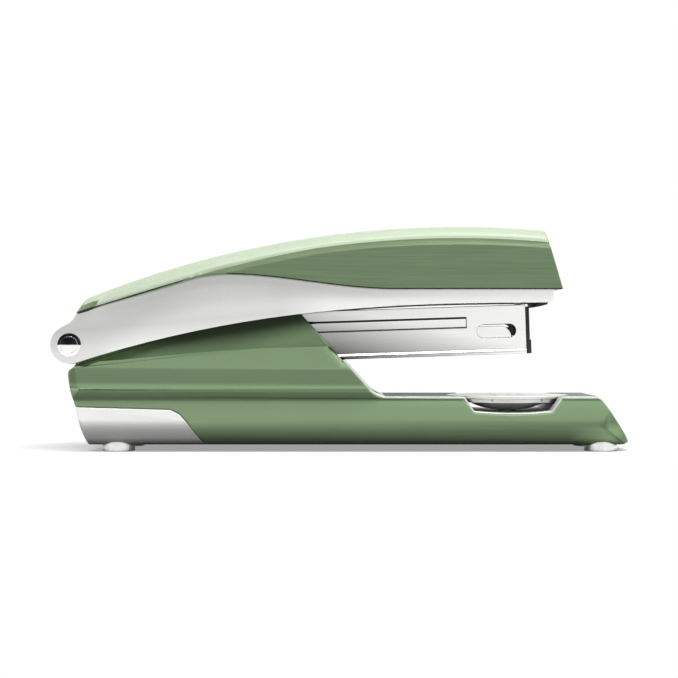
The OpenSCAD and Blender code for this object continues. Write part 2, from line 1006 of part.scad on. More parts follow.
module pusher_spring() {
  color(spring_steel)
    magazine_frame()
      translate([0, 0, rod_w])
        tube_of([for (i = [0:len(coil_points) - 1]) coil_ring(i)]);
}

// The cover's crown line, from the rear face to the front face
crown_curve = [
  crown_rear,
  crown_rear + [42, 16.8],
  crown_front - [38.6, -3.4],
  crown_front
];

// Height of the cover's lower edge at x: a straight rise, a crest and a flat front
function cover_edge(x) =
  x < edge_crest[0]
    ? let (
        rise = (edge_crest[1] - edge_rear[1]) / (edge_crest[0] - edge_rear[0] - 5),
        over = max(0, x - edge_crest[0] + 10)
      )
      edge_rear[1] + rise * (x - edge_rear[0]) - rise * over * over / 20
    : edge_crest[1] + (cover_rise - edge_crest[1]) * ease(edge_crest[0], edge_flat_x, x);

// One rib of the cover's skin, from one lower edge over the crown to the other
function cover_rib(t, inset) =
  let (
    crown = cubic(crown_curve, t) - [0, inset],
    foot_x = edge_rear[0] + (cover_tip - edge_rear[0]) * pow(t, 1 + 0.15 * (1 - t)),
    foot = [foot_x, cover_edge(foot_x)],
    h = crown[1] - foot[1],
    half = cover_half - inset,
    tuck = inset > 0 ? 0.25 : 0.8,
    crease = min(shoulder_depth, 0.8 * (h + inset)) - 0.85 * inset,
    rib = [
      [half, h],
      [half, crease + min(2, 0.12 * h)],
      [half - tuck, crease],
      [half - tuck - 0.9, crease * 0.55],
      [half - 3.6, crease * 0.24],
      [half - 6.5, crease * 0.08],
      [0, 0]
    ],
    whole = concat(rib, [for (i = [len(rib) - 2:-1:0]) [-rib[i][0], rib[i][1]]])
  )
  [for (p = whole)
    let (s = p[1] / h)
    [crown[0] + (foot[0] - crown[0]) * s, p[0], crown[1] - p[1]]];

cover_steps = 30;
outer_ribs = [for (i = [0:cover_steps]) cover_rib(i / cover_steps, 0)];
inner_ribs = [for (i = [0:cover_steps])
  cover_rib(0.011 + (0.988 - 0.011) * i / cover_steps, cover_wall)];

// A skin between two sets of ribs, closed at both ends and open below
module skin(outer, inner) {
  rows = len(outer);
  cols = len(outer[0]);
  n = rows * cols;
  points = concat([for (r = outer) each r], [for (r = inner) each r]);
  function o(i, j) = i * cols + j;
  function q(i, j) = n + i * cols + j;
  polyhedron(points = points, faces = concat(
    [for (i = [0:rows - 2]) for (j = [0:cols - 2]) [o(i, j), o(i + 1, j), o(i, j + 1)]],
    [for (i = [0:rows - 2]) for (j = [0:cols - 2]) [o(i, j + 1), o(i + 1, j), o(i + 1, j + 1)]],
    [for (i = [0:rows - 2]) for (j = [0:cols - 2]) [q(i, j), q(i, j + 1), q(i + 1, j)]],
    [for (i = [0:rows - 2]) for (j = [0:cols - 2]) [q(i, j + 1), q(i + 1, j + 1), q(i + 1, j)]],
    [for (j = [1:cols - 2]) [o(0, 0), o(0, j), o(0, j + 1)]],
    [for (j = [1:cols - 2]) [q(0, 0), q(0, j + 1), q(0, j)]],
    [for (j = [1:cols - 2]) [o(rows - 1, 0), o(rows - 1, j + 1), o(rows - 1, j)]],
    [for (j = [1:cols - 2]) [q(rows - 1, 0), q(rows - 1, j), q(rows - 1, j + 1)]],
    [for (i = [0:rows - 2]) [o(i, 0), q(i, 0), o(i + 1, 0)]],
    [for (i = [0:rows - 2]) [q(i, 0), q(i + 1, 0), o(i + 1, 0)]],
    [for (i = [0:rows - 2]) [o(i, cols - 1), o(i + 1, cols - 1), q(i, cols - 1)]],
    [for (i = [0:rows - 2]) [q(i, cols - 1), o(i + 1, cols - 1), q(i + 1, cols - 1)]],
    [[o(0, 0), o(0, cols - 1), q(0, 0)], [q(0, 0), o(0, cols - 1), q(0, cols - 1)]],
    [[o(rows - 1, 0), q(rows - 1, 0), o(rows - 1, cols - 1)],
     [q(rows - 1, 0), q(rows - 1, cols - 1), o(rows - 1, cols - 1)]]
  ));
}

cover_screw_spots = [0.5, 0.85];
boss_radius = 2.4;

module top_cover() {
  color(leaf_green)
    hinge_frame()
      difference() {
        union() {
          skin(outer_ribs, inner_ribs);
          for (t = cover_screw_spots)
            let (p = cubic(crown_curve, t))
              translate([p[0], 0, p[1] - web_drop + 0.6])
                cylinder(r = boss_radius, h = web_drop - 0.6 - cover_wall / 2);
        }
        for (t = cover_screw_spots)
          let (p = cubic(crown_curve, t))
            translate([p[0], 0, p[1] - web_drop - 5])
              cylinder(r = screw_radius, h = 5 + web_drop - cover_wall - 0.4);
      }
}

// The arm's upper edge follows the cover's crown from below
function below_crown(drop, from, to, steps) =
  [for (i = [0:steps]) cubic(crown_curve, from + (to - from) * i / steps) - [0, drop]];

arm_steps = 20;
arm_low_start = eye_radius * [0.31, -0.951];
arm_low_curve = [
  arm_low_start,
  arm_low_start + [45, 14.67],
  [arm_tip - 44.5, arm_front_rise],
  [arm_tip - 0.8, arm_front_rise]
];
arm_upper = below_crown(plate_drop, 0.05, 0.985, arm_steps);
web_upper = below_crown(web_drop, 0.05, 0.96, arm_steps);
wall_foot = [arm_tip + 0.4, cover_rise];
wall_head = arm_upper[arm_steps];

module arm_outline() {
  polygon(concat(
    [for (i = [0:arm_steps]) cubic(arm_low_curve, i / arm_steps)],
    [[arm_tip - 0.2, arm_front_rise + 0.4], [arm_tip, arm_front_rise + 1.5]],
    [wall_foot],
    backwards(arm_upper),
    [
      [edge_rear[0] + 3, cover_edge(edge_rear[0] + 3) - 0.15],
      edge_rear - [0.1, 0.15],
      [1.4, eye_radius + 2.4],
      [0.9, eye_radius + 1.6],
      [0.2, eye_radius + 0.9],
      [-1, eye_radius + 0.3],
      [-2.1, eye_radius - 0.3],
      [-3.1, eye_radius - 1.1]
    ],
    [[0, 0]]
  ));
}

// Folded lever: two side plates with hinge eyes, a web under the cover and a front wall
module lever_arm() {
  color(satin_steel)
    hinge_frame()
      difference() {
        union() {
          both_sides() {
            across(arm_in, arm_half) arm_outline();
            bar_y(eye_radius, arm_in, arm_half);
          }
          across(-arm_in, arm_in)
            polygon(concat(web_upper, backwards([for (p = web_upper) p - [0, arm_sheet]])));
          across(-arm_in, arm_in)
            polygon([
              [arm_tip - arm_sheet, arm_front_rise + 1.5],
              [arm_tip, arm_front_rise + 1.5],
              wall_foot,
              wall_head,
              wall_head - [arm_sheet, 0],
              wall_foot - [arm_sheet, 0]
            ]);
        }
        bar_y(rivet_radius + running_play, -mid, mid);
        for (t = cover_screw_spots)
          let (p = cubic(crown_curve, t))
            translate([p[0], 0, p[1] - web_drop - 5])
              cylinder(r = screw_radius + fit_gap, h = 10);
      }
}

module cover_screws() {
  head = 1;
  color(spring_steel)
    hinge_frame()
      for (t = cover_screw_spots)
        let (p = cubic(crown_curve, t))
          translate([p[0], 0, p[1] - web_drop - arm_sheet - head - 0.5]) {
            cylinder(r = 2, h = head);
            cylinder(r = screw_radius - press_gap, h = head + arm_sheet + web_drop - cover_wall);
          }
}

// Hardened blade that drives one staple down the nose
module driver_blade() {
  half = leg_out - 0.25;
  color(spring_steel)
    magazine_frame()
      difference() {
        translate([blade_front - blade_sheet, -half, blade_low])
          cube([blade_sheet, 2 * half, holder_low + holder_height - blade_low]);
        driver_rivet_holes();
      }
}

module driver_rivet_holes() {
  both_sides()
    translate([blade_front - 5, driver_rivet_y, holder_low + rivet_rise])
      rotate([0, 90, 0]) cylinder(r = driver_rivet_radius + press_gap, h = 6.7);
}

// A point of the tilted magazine, seen from the hinge
function tilted(p) =
  [p[0] * cos(rest_tilt) - p[1] * sin(rest_tilt), p[0] * sin(rest_tilt) + p[1] * cos(rest_tilt)];

// Moulded block under the arm's front that carries the driver and guards the nose
module driver_holder() {
  half = arm_in - fit_gap;
  leg_x = case_end + nose_sheet + 1.6;
  front = arm_tip - arm_sheet - fit_gap;
  low = tilted([blade_front, holder_low]);
  high = tilted([blade_front, holder_low + holder_height]);
  wall_run = (wall_head[0] - wall_foot[0]) / (wall_head[1] - wall_foot[1]);
  high_front = front + wall_run * (high[1] - cover_rise);
  color(dark_steel)
    difference() {
      hinge_frame()
        across(-half, half)
          polygon([
            [leg_x, arm_front_rise - 1.2],
            [front, arm_front_rise - 0.5],
            [front, cover_rise],
            [high_front, high[1]],
            high,
            low,
            [leg_x, low[1]]
          ]);
      magazine_frame() driver_rivet_holes();
    }
}

module driver_rivets() {
  head = 0.6;
  color(satin_steel)
    magazine_frame()
      both_sides()
        translate([blade_front - blade_sheet - head, driver_rivet_y, holder_low + rivet_rise])
          rotate([0, 90, 0]) {
            cylinder(r = driver_rivet_radius + 0.8, h = head);
            cylinder(r = driver_rivet_radius, h = head + blade_sheet + 1.5);
          }
}

// Leaf spring that holds the arm up from the magazine
arm_leaf_t = 0.36;
arm_leaf_top = cubic(crown_curve, arm_leaf_t) - [0, web_drop + arm_sheet];
arm_leaf_seat = eye_radius + 1.9;
arm_leaf_path = [
  arm_leaf_top + [6, 0],
  arm_leaf_top,
  arm_leaf_top - [4, 2.4],
  [14, 8.2],
  [8, arm_leaf_seat - 0.5],
  [5, arm_leaf_seat]
];

module arm_spring() {
  color(spring_steel)
    hinge_frame()
      across(-leaf_half, leaf_half)
        polygon(concat(arm_leaf_path, backwards(beside(arm_leaf_path, leaf_sheet))));
}

// Rivet heads under the leaf, which hold it to the arm's web
module arm_spring_rivets() {
  color(dark_steel)
    hinge_frame()
      both_sides()
        translate([arm_leaf_top[0] + 3, leaf_rivet_y, arm_leaf_top[1] - leaf_sheet - leaf_rivet_head])
          cylinder(r = 2 * leaf_rivet_radius, h = leaf_rivet_head);
}

base_shell();
heel_trim();
bottom_plate();
bottom_screws();
rear_feet();
front_feet();
base_chassis();
deck_plate();
hinge_rivet();
arm_spacers();
magazine_washers();
return_spring();
return_spring_rivets();
anvil_plate();
anvil_hub();
anvil_post();
anvil_retainer();
magazine_case();
staple_track();
nose_plate();
hinge_block();
guide_rod();
staple_strip();
staple_pusher();
pusher_spring();
lever_arm();
top_cover();
cover_screws();
driver_blade();
driver_holder();
driver_rivets();
arm_spring();
arm_spring_rivets();
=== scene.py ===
"""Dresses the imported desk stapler: shaped pieces, lacquer and metal finishes, and a plain studio."""

import json
import math

import bmesh
import bpy
from bpy.props import FloatProperty, FloatVectorProperty, IntProperty, PointerProperty
from mathutils import Matrix, Vector
from mathutils.bvhtree import BVHTree


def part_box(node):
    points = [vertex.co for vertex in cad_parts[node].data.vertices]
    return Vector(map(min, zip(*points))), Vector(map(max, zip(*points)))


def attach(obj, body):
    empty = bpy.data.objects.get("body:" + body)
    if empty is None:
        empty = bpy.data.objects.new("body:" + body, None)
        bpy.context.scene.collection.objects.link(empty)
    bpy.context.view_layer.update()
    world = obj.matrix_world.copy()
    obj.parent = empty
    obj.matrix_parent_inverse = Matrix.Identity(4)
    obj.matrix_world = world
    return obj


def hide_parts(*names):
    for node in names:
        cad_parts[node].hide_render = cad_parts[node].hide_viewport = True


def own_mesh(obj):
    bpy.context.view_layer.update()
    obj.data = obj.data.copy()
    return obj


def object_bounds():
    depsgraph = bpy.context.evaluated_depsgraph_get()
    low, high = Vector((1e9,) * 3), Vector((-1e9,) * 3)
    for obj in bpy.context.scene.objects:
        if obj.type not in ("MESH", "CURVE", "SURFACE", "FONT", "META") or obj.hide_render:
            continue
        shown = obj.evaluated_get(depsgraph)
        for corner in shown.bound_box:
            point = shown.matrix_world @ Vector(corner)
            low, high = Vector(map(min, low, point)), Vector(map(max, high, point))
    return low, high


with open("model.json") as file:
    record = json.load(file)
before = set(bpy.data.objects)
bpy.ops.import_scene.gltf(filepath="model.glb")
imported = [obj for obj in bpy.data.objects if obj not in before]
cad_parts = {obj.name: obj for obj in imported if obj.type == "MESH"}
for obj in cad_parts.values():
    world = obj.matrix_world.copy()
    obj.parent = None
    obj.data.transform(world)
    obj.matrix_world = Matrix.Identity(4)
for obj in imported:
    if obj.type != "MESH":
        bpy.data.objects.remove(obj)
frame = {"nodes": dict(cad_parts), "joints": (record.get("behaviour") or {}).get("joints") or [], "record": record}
CAD_BOX = [list(corner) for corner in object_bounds()]

bl_info = {
    "name": "Desk Stapler",
    "version": (1, 0, 0),
    "blender": (4, 5, 0),
    "location": "View3D > Sidebar > Stapler",
    "description": "Dresses the packed desk stapler with shaped pieces, finishes and a studio",
    "category": "Object",
}

MM = 0.001
JOINTS = {joint["name"]: joint for joint in frame["joints"]}
HINGE = Vector(JOINTS["magazine_swing"]["pos_m"])
SLIDE = Vector(JOINTS["pusher_slide"]["axis"]).normalized()
ANVIL = Vector(JOINTS["anvil_turn"]["pos_m"])
BODY_OF = {
    node: body
    for body, nodes in frame["record"]["behaviour"]["bodies"].items()
    for node in nodes
}
SLOT_OF = {part["node"]: part["material_slot"] for part in frame["record"]["subparts"]}

# Frames at the hinge, level and leaning with the magazine
IN_HINGE = Matrix.Translation(HINGE)
IN_MAGAZINE = IN_HINGE @ Matrix.Rotation(-math.atan2(SLIDE.z, SLIDE.x), 4, "Y")
TO_MAGAZINE = IN_MAGAZINE.inverted()


def length(name, description, default):
    """A size that a user may change, in metres."""
    return FloatProperty(name=name, description=description, default=default, unit="LENGTH", precision=5)


def tint(name, description, default):
    """A colour that a user may change."""
    return FloatVectorProperty(
        name=name, description=description, default=default, subtype="COLOR", size=3, min=0, max=1
    )


class StaplerSizes(bpy.types.PropertyGroup):
    """Sizes of the dressed pieces."""

    cover_wall: length("Cover Wall", "Thickness of the green cover", 1.2 * MM)
    cover_half: length("Cover Half Width", "Half the cover's width", 15.3 * MM)
    cover_round: length("Cover Edge", "Radius on the cover's edges", 0.28 * MM)
    shoulder: length("Shoulder", "Height of the glossy shoulder below the crown", 3.5 * MM)
    band: length("Cover Band", "Height of the paler band under the shoulder", 1.9 * MM)
    shell_round: length("Shell Edge", "Radius on the base shell's edges", 0.35 * MM)
    heel_round: length("Heel Edge", "Radius on the heel trim's edges", 0.21 * MM)
    throat_round: length("Throat Edge", "Width of the ledge's bevel at the throat", 2.3 * MM)
    plate_round: length("Lever Edge", "Radius on the lever's folded edges", 0.16 * MM)
    plate_crown: FloatProperty(
        name="Lever Crown", description="Bow of the lever's plates, as a share of their height", default=0.03
    )
    sheet_round: length("Sheet Edge", "Radius on thin pressed sheets", 0.12 * MM)
    case_round: length("Magazine Edge", "Radius on the magazine's edges", 0.18 * MM)
    lip_rise: length("Lip Rise", "How far the track's lips are lifted into the windows", 0.9 * MM)
    block_round: length("Block Edge", "Radius on moulded blocks", 0.3 * MM)
    rivet_dome: length("Rivet Dome", "Radius of curvature of the hinge rivet's heads", 7.5 * MM)
    staple_inner: length("Staple Width", "Inside width of a staple", 11.5 * MM)
    staple_leg: length("Staple Leg", "Length of a staple's legs", 6.0 * MM)
    staple_wire: length("Staple Wire", "Width of a staple's wire", 0.7 * MM)
    staple_thick: length("Staple Thickness", "Thickness of a staple's crown", 0.5 * MM)
    staple_pitch: length("Staple Pitch", "Distance from one staple to the next", 0.52 * MM)
    spring_wire: length("Spring Wire", "Radius of the pusher spring's wire", 0.25 * MM)
    spring_radius: length("Spring Radius", "Radius of the pusher spring's turns", 1.6 * MM)
    spring_turns: IntProperty(name="Spring Turns", description="Turns of the spring", default=20, min=4)
    screw_shank: length("Screw Shank", "Radius of a screw's shank", 1.18 * MM)
    wheel_grips: IntProperty(name="Wheel Grips", description="Ribs on the anvil's wheel", default=7, min=3)


class StaplerColours(bpy.types.PropertyGroup):
    """Colours of the finishes, linear."""

    base_green: tint("Base Green", "Lacquer of the base shell", (0.247, 0.35, 0.2))
    cover_green: tint("Cover Green", "Brushed and lacquered cover", (0.2, 0.283, 0.157))
    # The shoulder green is lighter than the cover green, partly a painted highlight
    shoulder_green: tint("Shoulder Green", "Polished shoulder of the cover", (0.375, 0.455, 0.325))
    satin: tint("Satin Silver", "Lever arm and heel", (0.95, 0.953, 0.935))
    chrome: tint("Chrome", "Magazine, track and hinge rivet", (0.93, 0.93, 0.91))
    pale_steel: tint("Pale Steel", "Deck, anvil and chassis", (0.84, 0.84, 0.82))
    spring_grey: tint("Spring Grey", "Springs, screws and driver", (0.42, 0.43, 0.45))
    staple_zinc: tint("Staple Zinc", "Galvanised staples", (0.62, 0.63, 0.65))
    knob_zinc: tint("Knob Zinc", "Knob under the finger wheel", (0.88, 0.88, 0.87))
    dark_steel: tint("Dark Steel", "Blackened nose plate", (0.03, 0.031, 0.034))
    dark_plastic: tint("Dark Plastic", "Moulded inner blocks", (0.04, 0.041, 0.044))
    foot_white: tint("Foot White", "Pearl white feet", (0.92, 0.92, 0.9))


class StaplerStudio(bpy.types.PropertyGroup):
    """Camera, lamps and floor."""

    camera_place: FloatVectorProperty(
        name="Camera", description="Place of the camera", default=(-0.0004, -0.46, 0.0303), unit="LENGTH"
    )
    lens: FloatProperty(name="Lens", description="Focal length in millimetres", default=87.8, min=10)
    key_power: FloatProperty(
        name="Key Lamp", description="Power of the lamp in front and above", default=7.3, unit="POWER"
    )
    top_power: FloatProperty(
        name="Top Lamp", description="Power of the lamp overhead", default=2.4, unit="POWER"
    )
    sky: FloatProperty(name="Sky", description="Strength of the light all round", default=0.36, min=0)
    floor: tint("Floor", "Colour of the floor", (0.85, 0.85, 0.85))


# Node trees

def sum_of(operation, turned=False):
    """An operator that adds a Math node, with its terms turned round for a reflected form."""
    def method(self, other):
        terms = (other, self) if turned else (self, other)
        return self.maker.node("ShaderNodeMath", dict(enumerate(terms)), operation=operation)

    return method


class Expr:
    """A socket that takes part in Python sums."""

    def __init__(self, maker, socket):
        self.maker = maker
        self.socket = socket

    __add__, __radd__ = sum_of("ADD"), sum_of("ADD", turned=True)
    __sub__, __rsub__ = sum_of("SUBTRACT"), sum_of("SUBTRACT", turned=True)
    __mul__, __rmul__ = sum_of("MULTIPLY"), sum_of("MULTIPLY", turned=True)
    __truediv__, __rtruediv__ = sum_of("DIVIDE"), sum_of("DIVIDE", turned=True)


class Nodes:
    """A node tree under construction."""

    def __init__(self, tree):
        self.tree = tree

    def node(self, kind, sockets=None, output=0, stops=(), **settings):
        """Adds a node: its settings first, then values or links of its sockets."""
        made = self.tree.nodes.new(kind)
        for name, value in settings.items():
            setattr(made, name, value)
        for count, (place, grey) in enumerate(stops):
            elements = made.color_ramp.elements
            element = elements[count] if count < len(elements) else elements.new(1.0)
            element.position = place
            element.color = (grey, grey, grey, 1.0)
        for key, value in (sockets or {}).items():
            for item in value if isinstance(value, list) else [value]:
                if isinstance(item, Expr):
                    self.tree.links.new(item.socket, made.inputs[key])
                else:
                    made.inputs[key].default_value = item
        return Expr(self, made.outputs[output]) if made.outputs else None


class Finish(Nodes):
    """The tree of a material or of the world."""

    def axis(self, name):
        """One of the Object coordinates, in metres."""
        where = self.node("ShaderNodeTexCoord", output="Object")
        return self.node("ShaderNodeSeparateXYZ", {0: where}, output=name)

    def height(self):
        """Height above the table, in metres."""
        return self.axis("Z")

    def along(self):
        """Distance ahead of the middle, in metres."""
        return self.axis("X")

    def noise(self, scale, detail=3.0, rough=0.5):
        """Fine noise from 0 to 1, with one scale or one for each axis."""
        stretch = scale if isinstance(scale, tuple) else (scale,) * 3
        where = self.node("ShaderNodeTexCoord", output="Object")
        place = self.node("ShaderNodeMapping", {"Vector": where, "Scale": stretch})
        sockets = {"Vector": place, "Scale": 1.0, "Detail": detail, "Roughness": rough}
        return self.node("ShaderNodeTexNoise", sockets)

    def rise(self, value, low, high, **settings):
        """A share that goes from 0 at low to 1 at high."""
        return self.node("ShaderNodeMapRange", {0: value, 1: low, 2: high}, **settings)

    def clamp(self, value):
        """A value kept from 0 to 1."""
        return self.node("ShaderNodeClamp", {0: value})

    def sum(self, operation, first, second=0.0):
        """A Math node whose operation has no sign in Python."""
        return self.node("ShaderNodeMath", {0: first, 1: second}, operation=operation)

    def ramp(self, value, stops):
        """A grey that follows (value, grey) stops, both from 0 to 1."""
        return self.node("ShaderNodeValToRGB", {0: value}, stops=stops)

    def blend(self, share, first, second):
        """A colour between two others."""
        return self.node("ShaderNodeMix", {0: share, 6: first, 7: second}, output=2, data_type="RGBA")

    def scaled(self, colour, factor):
        """A colour times a number."""
        return self.node("ShaderNodeVectorMath", {0: colour, "Scale": factor}, operation="SCALE")

    def bump(self, height, depth, strength):
        """A normal that follows a height, with a depth in metres."""
        return self.node("ShaderNodeBump", {"Height": height, "Distance": depth, "Strength": strength})

    def ray(self, kind):
        """1 for rays of a kind, and 0 for others."""
        return self.node("ShaderNodeLightPath", output=f"Is {kind} Ray")

    def shown(self):
        """1 for what the camera, a reflection or a clear piece shows, and 0 for soft light."""
        return self.ray("Camera") + self.ray("Glossy") + self.ray("Transmission")


# Finishes

def shade(colour, factor):
    """A colour made lighter or darker, as four numbers."""
    return tuple(min(1.0, channel * factor) for channel in colour[:3]) + (1.0,)


def grain(colour, darkest, lightest, *pattern):
    """A colour that varies between two shades with a noise pattern."""
    return lambda f: f.blend(f.noise(*pattern), shade(colour, darkest), shade(colour, lightest))


def surface(name, colour_of, roughness, bump=None, fixed=None):
    """A named Principled material.

    The colour is a function of the finish. The roughness is a least value, a spread and a noise pattern.
    The bump is a depth, a strength and a noise pattern.
    """
    found = bpy.data.materials.get(name)
    if found:
        return found
    material = bpy.data.materials.new(name)
    material.use_nodes = True
    principled = material.node_tree.nodes["Principled BSDF"]
    for socket, value in (fixed or {}).items():
        principled.inputs[socket].default_value = value
    f = Finish(material.node_tree)
    least, spread, *pattern = roughness
    varying = {"Base Color": colour_of(f), "Roughness": least + f.noise(*pattern) * spread}
    if bump:
        depth, strength, *pattern = bump
        varying["Normal"] = f.bump(f.noise(*pattern), depth, strength)
    for socket, value in varying.items():
        f.tree.links.new(value.socket, principled.inputs[socket])
    return material


# Painted highlights and shade on the base's lacquer, as (height in mm, factor), and how they change along the base
PAINTED_SHADING = (
    (2.0, 0.9), (3.3, 0.8), (4.7, 1.4), (5.5, 1.65), (6.9, 1.6), (8.6, 0.95), (12.0, 1.0),
    (14.5, 1.15), (16.0, 1.5), (16.6, 2.1), (16.9, 1.1), (17.6, 1.2), (18.6, 0.8), (22.2, 0.82), (22.5, 1.0),
)
PAINTED_SHADING_TOP = 25 * MM
PAINTED_SHADING_MOST = 2.2
PAINTED_SHADING_DROP = 0.0075
PAINTED_SHADING_END = (71 * MM, 63 * MM)
FLANK = (14.5 * MM, 16.5 * MM)
HUMP_MIDDLE = -27 * MM
LEVER_SLOPE = 0.17
LEVER_BEND = 4.0
# Painted shadow of the lever on the hump: the heights above the lever's line over which it grows, and how dark it
# is
LEVER_SHADOW = (26.3 * MM, 33 * MM)
LEVER_SHADOW_DIM = 0.22
# Painted light on the toe's lower corner: where it grows along the base and down the flank, the corner's slanted
# line, and its strength
TOE = (61 * MM, 72 * MM)
TOE_LOW = (7.6 * MM, 1.6 * MM)
TOE_CORNER = (79.3 * MM, 78 * MM)
TOE_CORNER_SLOPE = 1.3
TOE_LIGHT = 3.0


def green_lacquer(colours):
    """Lacquer with fine flake, painted highlights and shade in bands along the flank, painted shadow of the lever
    on the hump, and painted light on the toe's lower corner.
    """
    def colour(f):
        flake = f.noise(5200, 1.0)
        cloud = f.noise(45, 2.0)
        share = flake * 0.7 + cloud * 0.3
        unshaded, shadowed = [
            f.blend(share, shade(colours.base_green, 0.84 * dim), shade(colours.base_green, 1.16 * dim))
            for dim in (1.0, LEVER_SHADOW_DIM)
        ]
        ahead = f.along() - HUMP_MIDDLE
        # Painted highlights and shade in bands by height, on the flank and behind the toe
        level = (f.height() + PAINTED_SHADING_DROP * ahead) / PAINTED_SHADING_TOP
        painted_bands = f.ramp(level, [(place * MM / PAINTED_SHADING_TOP, factor / PAINTED_SHADING_MOST) for place, factor in PAINTED_SHADING])
        flank = f.rise(f.sum("ABSOLUTE", f.axis("Y")), *FLANK)
        painted_bands_here = f.sum("MAXIMUM", f.rise(f.along(), *PAINTED_SHADING_END), flank)
        banded_lacquer = f.scaled(unshaded, painted_bands * PAINTED_SHADING_MOST)
        # Painted shadow of the lever, darkest just under the lever's lower edge
        under_lever = f.height() - LEVER_SLOPE * ahead - LEVER_BEND * ahead * ahead
        shadow_share = f.rise(under_lever, *LEVER_SHADOW, interpolation_type="SMOOTHSTEP")
        paint = f.blend(shadow_share, f.blend(painted_bands_here, unshaded, banded_lacquer), shadowed)
        # Painted light that lifts the toe's lower corner
        corner = f.rise(f.along() + TOE_CORNER_SLOPE * f.height(), *TOE_CORNER)
        toe = f.rise(f.along(), *TOE) * f.rise(f.height(), *TOE_LOW)
        return f.scaled(paint, 1.0 + TOE_LIGHT * toe * corner * flank)

    fixed = {"Specular IOR Level": 0.12}
    return surface("green_lacquer", colour, (0.3, 0.1, 900), (0.02 * MM, 0.25, 700, 2.0), fixed)


def green_brushed(colours):
    """Brushed sheet under clear green lacquer, with streaks along the cover."""
    streaks = ((55, 2600, 2600), 4.0, 0.62)

    def colour(f):
        share = f.noise(*streaks) * 0.75 + f.noise((22, 700, 700)) * 0.25
        return f.blend(share, shade(colours.cover_green, 0.62), shade(colours.cover_green, 1.38))

    fixed = {"Metallic": 0.25, "Specular IOR Level": 0.35}
    return surface("green_brushed", colour, (0.3, 0.16, *streaks), (0.03 * MM, 0.4, *streaks), fixed)


def green_gloss(colours):
    """The cover's polished shoulder, in a lighter green that is partly a painted highlight."""
    colour = grain(colours.shoulder_green, 0.86, 1.1, (40, 1500, 1500))
    fixed = {"Metallic": 0.05, "Coat Weight": 0.12, "Coat Roughness": 0.2}
    return surface("green_gloss", colour, (0.36, 0.08, (60, 900, 900)), None, fixed)


# A broad band of painted shade on the lever's rear half: its height at the middle, its slope, width and front end.
# The heel's painted shade fades out between two heights
LEVER_SHADE_HEIGHT = 38.7 * MM
LEVER_SHADE_SLOPE = 0.085
LEVER_SHADE_WIDE = 16 * MM
LEVER_SHADE = ((0.14, 0.0), (0.3, 0.5), (0.5, 1.0), (0.72, 0.6), (1.0, 0.0))
LEVER_SHADE_END = (-4 * MM, -16 * MM)
HEEL_SHADE = (1.3 * MM, 3.9 * MM)
BLASTED = (0.01 * MM, 0.3, 3000, 2.0)


def silver(f, colours):
    """Fine blasted silver."""
    share = f.noise(2600, 2.0) * 0.6 + f.noise(30, 2.0) * 0.4
    return f.blend(share, shade(colours.satin, 0.93), shade(colours.satin, 1.05))


def satin_silver(colours):
    """Silver of the lever, with a broad band of painted shade along its rear half."""
    def colour(f):
        over = f.height() - LEVER_SHADE_SLOPE * f.along() - LEVER_SHADE_HEIGHT
        shade_share = f.ramp(over / LEVER_SHADE_WIDE + 0.5, LEVER_SHADE) * f.rise(f.along(), *LEVER_SHADE_END)
        return f.blend(shade_share, silver(f, colours), shade(colours.satin, 0.77))

    return surface("satin_silver", colour, (0.18, 0.08, 1500), BLASTED, {"Metallic": 0.92})


def heel_silver(colours):
    """Silver lacquer of the heel, duller than the lever, with painted shade that darkens it near the table."""
    def colour(f):
        unshaded = f.rise(f.height(), *HEEL_SHADE)
        return f.blend(unshaded, shade(colours.satin, 0.15), silver(f, colours))

    fixed = {"Metallic": 0.06, "Specular IOR Level": 0.15}
    return surface("heel_silver", colour, (0.42, 0.1, 1500), BLASTED, fixed)


# Drawing marks and gloss of the plating, the magazine's painted shade with its slope, the rivet's painted dark
# reflection above its middle, and where the staples turn black with painted shade

DRAWN = (60, 1800, 1800)
PLATED = (0.1, 0.1, (120, 1400, 1400))
CHROME_SHADE = (24.5 * MM, 38.5 * MM)
CHROME_SHADE_SLOPE = 0.21
RIVET_DARK = (0.1 * MM, 0.3 * MM)
RIVET_DARK_WANDERS = 0.4 * MM
STAPLE_SHADE = (45.4 * MM, 45.7 * MM)


def chrome_plate(colours):
    """Bright plating with faint drawing marks."""
    return surface("chrome_plate", grain(colours.chrome, 0.93, 1.06, DRAWN), PLATED, None, {"Metallic": 1.0})


def painted_shade_chrome(colours):
    """The magazine's plating, with painted shade low down and towards the hinge."""
    def colour(f):
        unshaded = f.rise(CHROME_SHADE_SLOPE * f.along() + f.height(), *CHROME_SHADE)
        return f.blend(unshaded, shade(colours.chrome, 0.06), grain(colours.chrome, 0.96, 1.05, DRAWN)(f))

    return surface("painted_shade_chrome", colour, PLATED, None, {"Metallic": 1.0})


def rivet_chrome(colours):
    """The hinge rivet's plating, with a painted dark reflection over its upper half."""
    def colour(f):
        bright = grain(colours.chrome, 0.96, 1.05, 900)(f)
        dark_reflection = grain(colours.dark_steel, 0.5, 0.9, 900)(f)
        # Painted dark reflection over the upper half, with a wandering edge
        above = f.height() - HINGE.z + f.noise(500, 2.0) * RIVET_DARK_WANDERS
        return f.blend(f.rise(above, *RIVET_DARK), bright, dark_reflection)

    return surface("rivet_chrome", colour, (0.1, 0.08, 900), None, {"Metallic": 1.0})


def painted_edge_shade(colours):
    """Painted shade on the magazine's cut edges and pressed lines."""
    colour = grain(colours.dark_steel, 0.8, 2.6, (300, 900, 900))
    return surface("painted_edge_shade", colour, (0.4, 0.15, (600, 900, 900)), None, {"Specular IOR Level": 0.15})


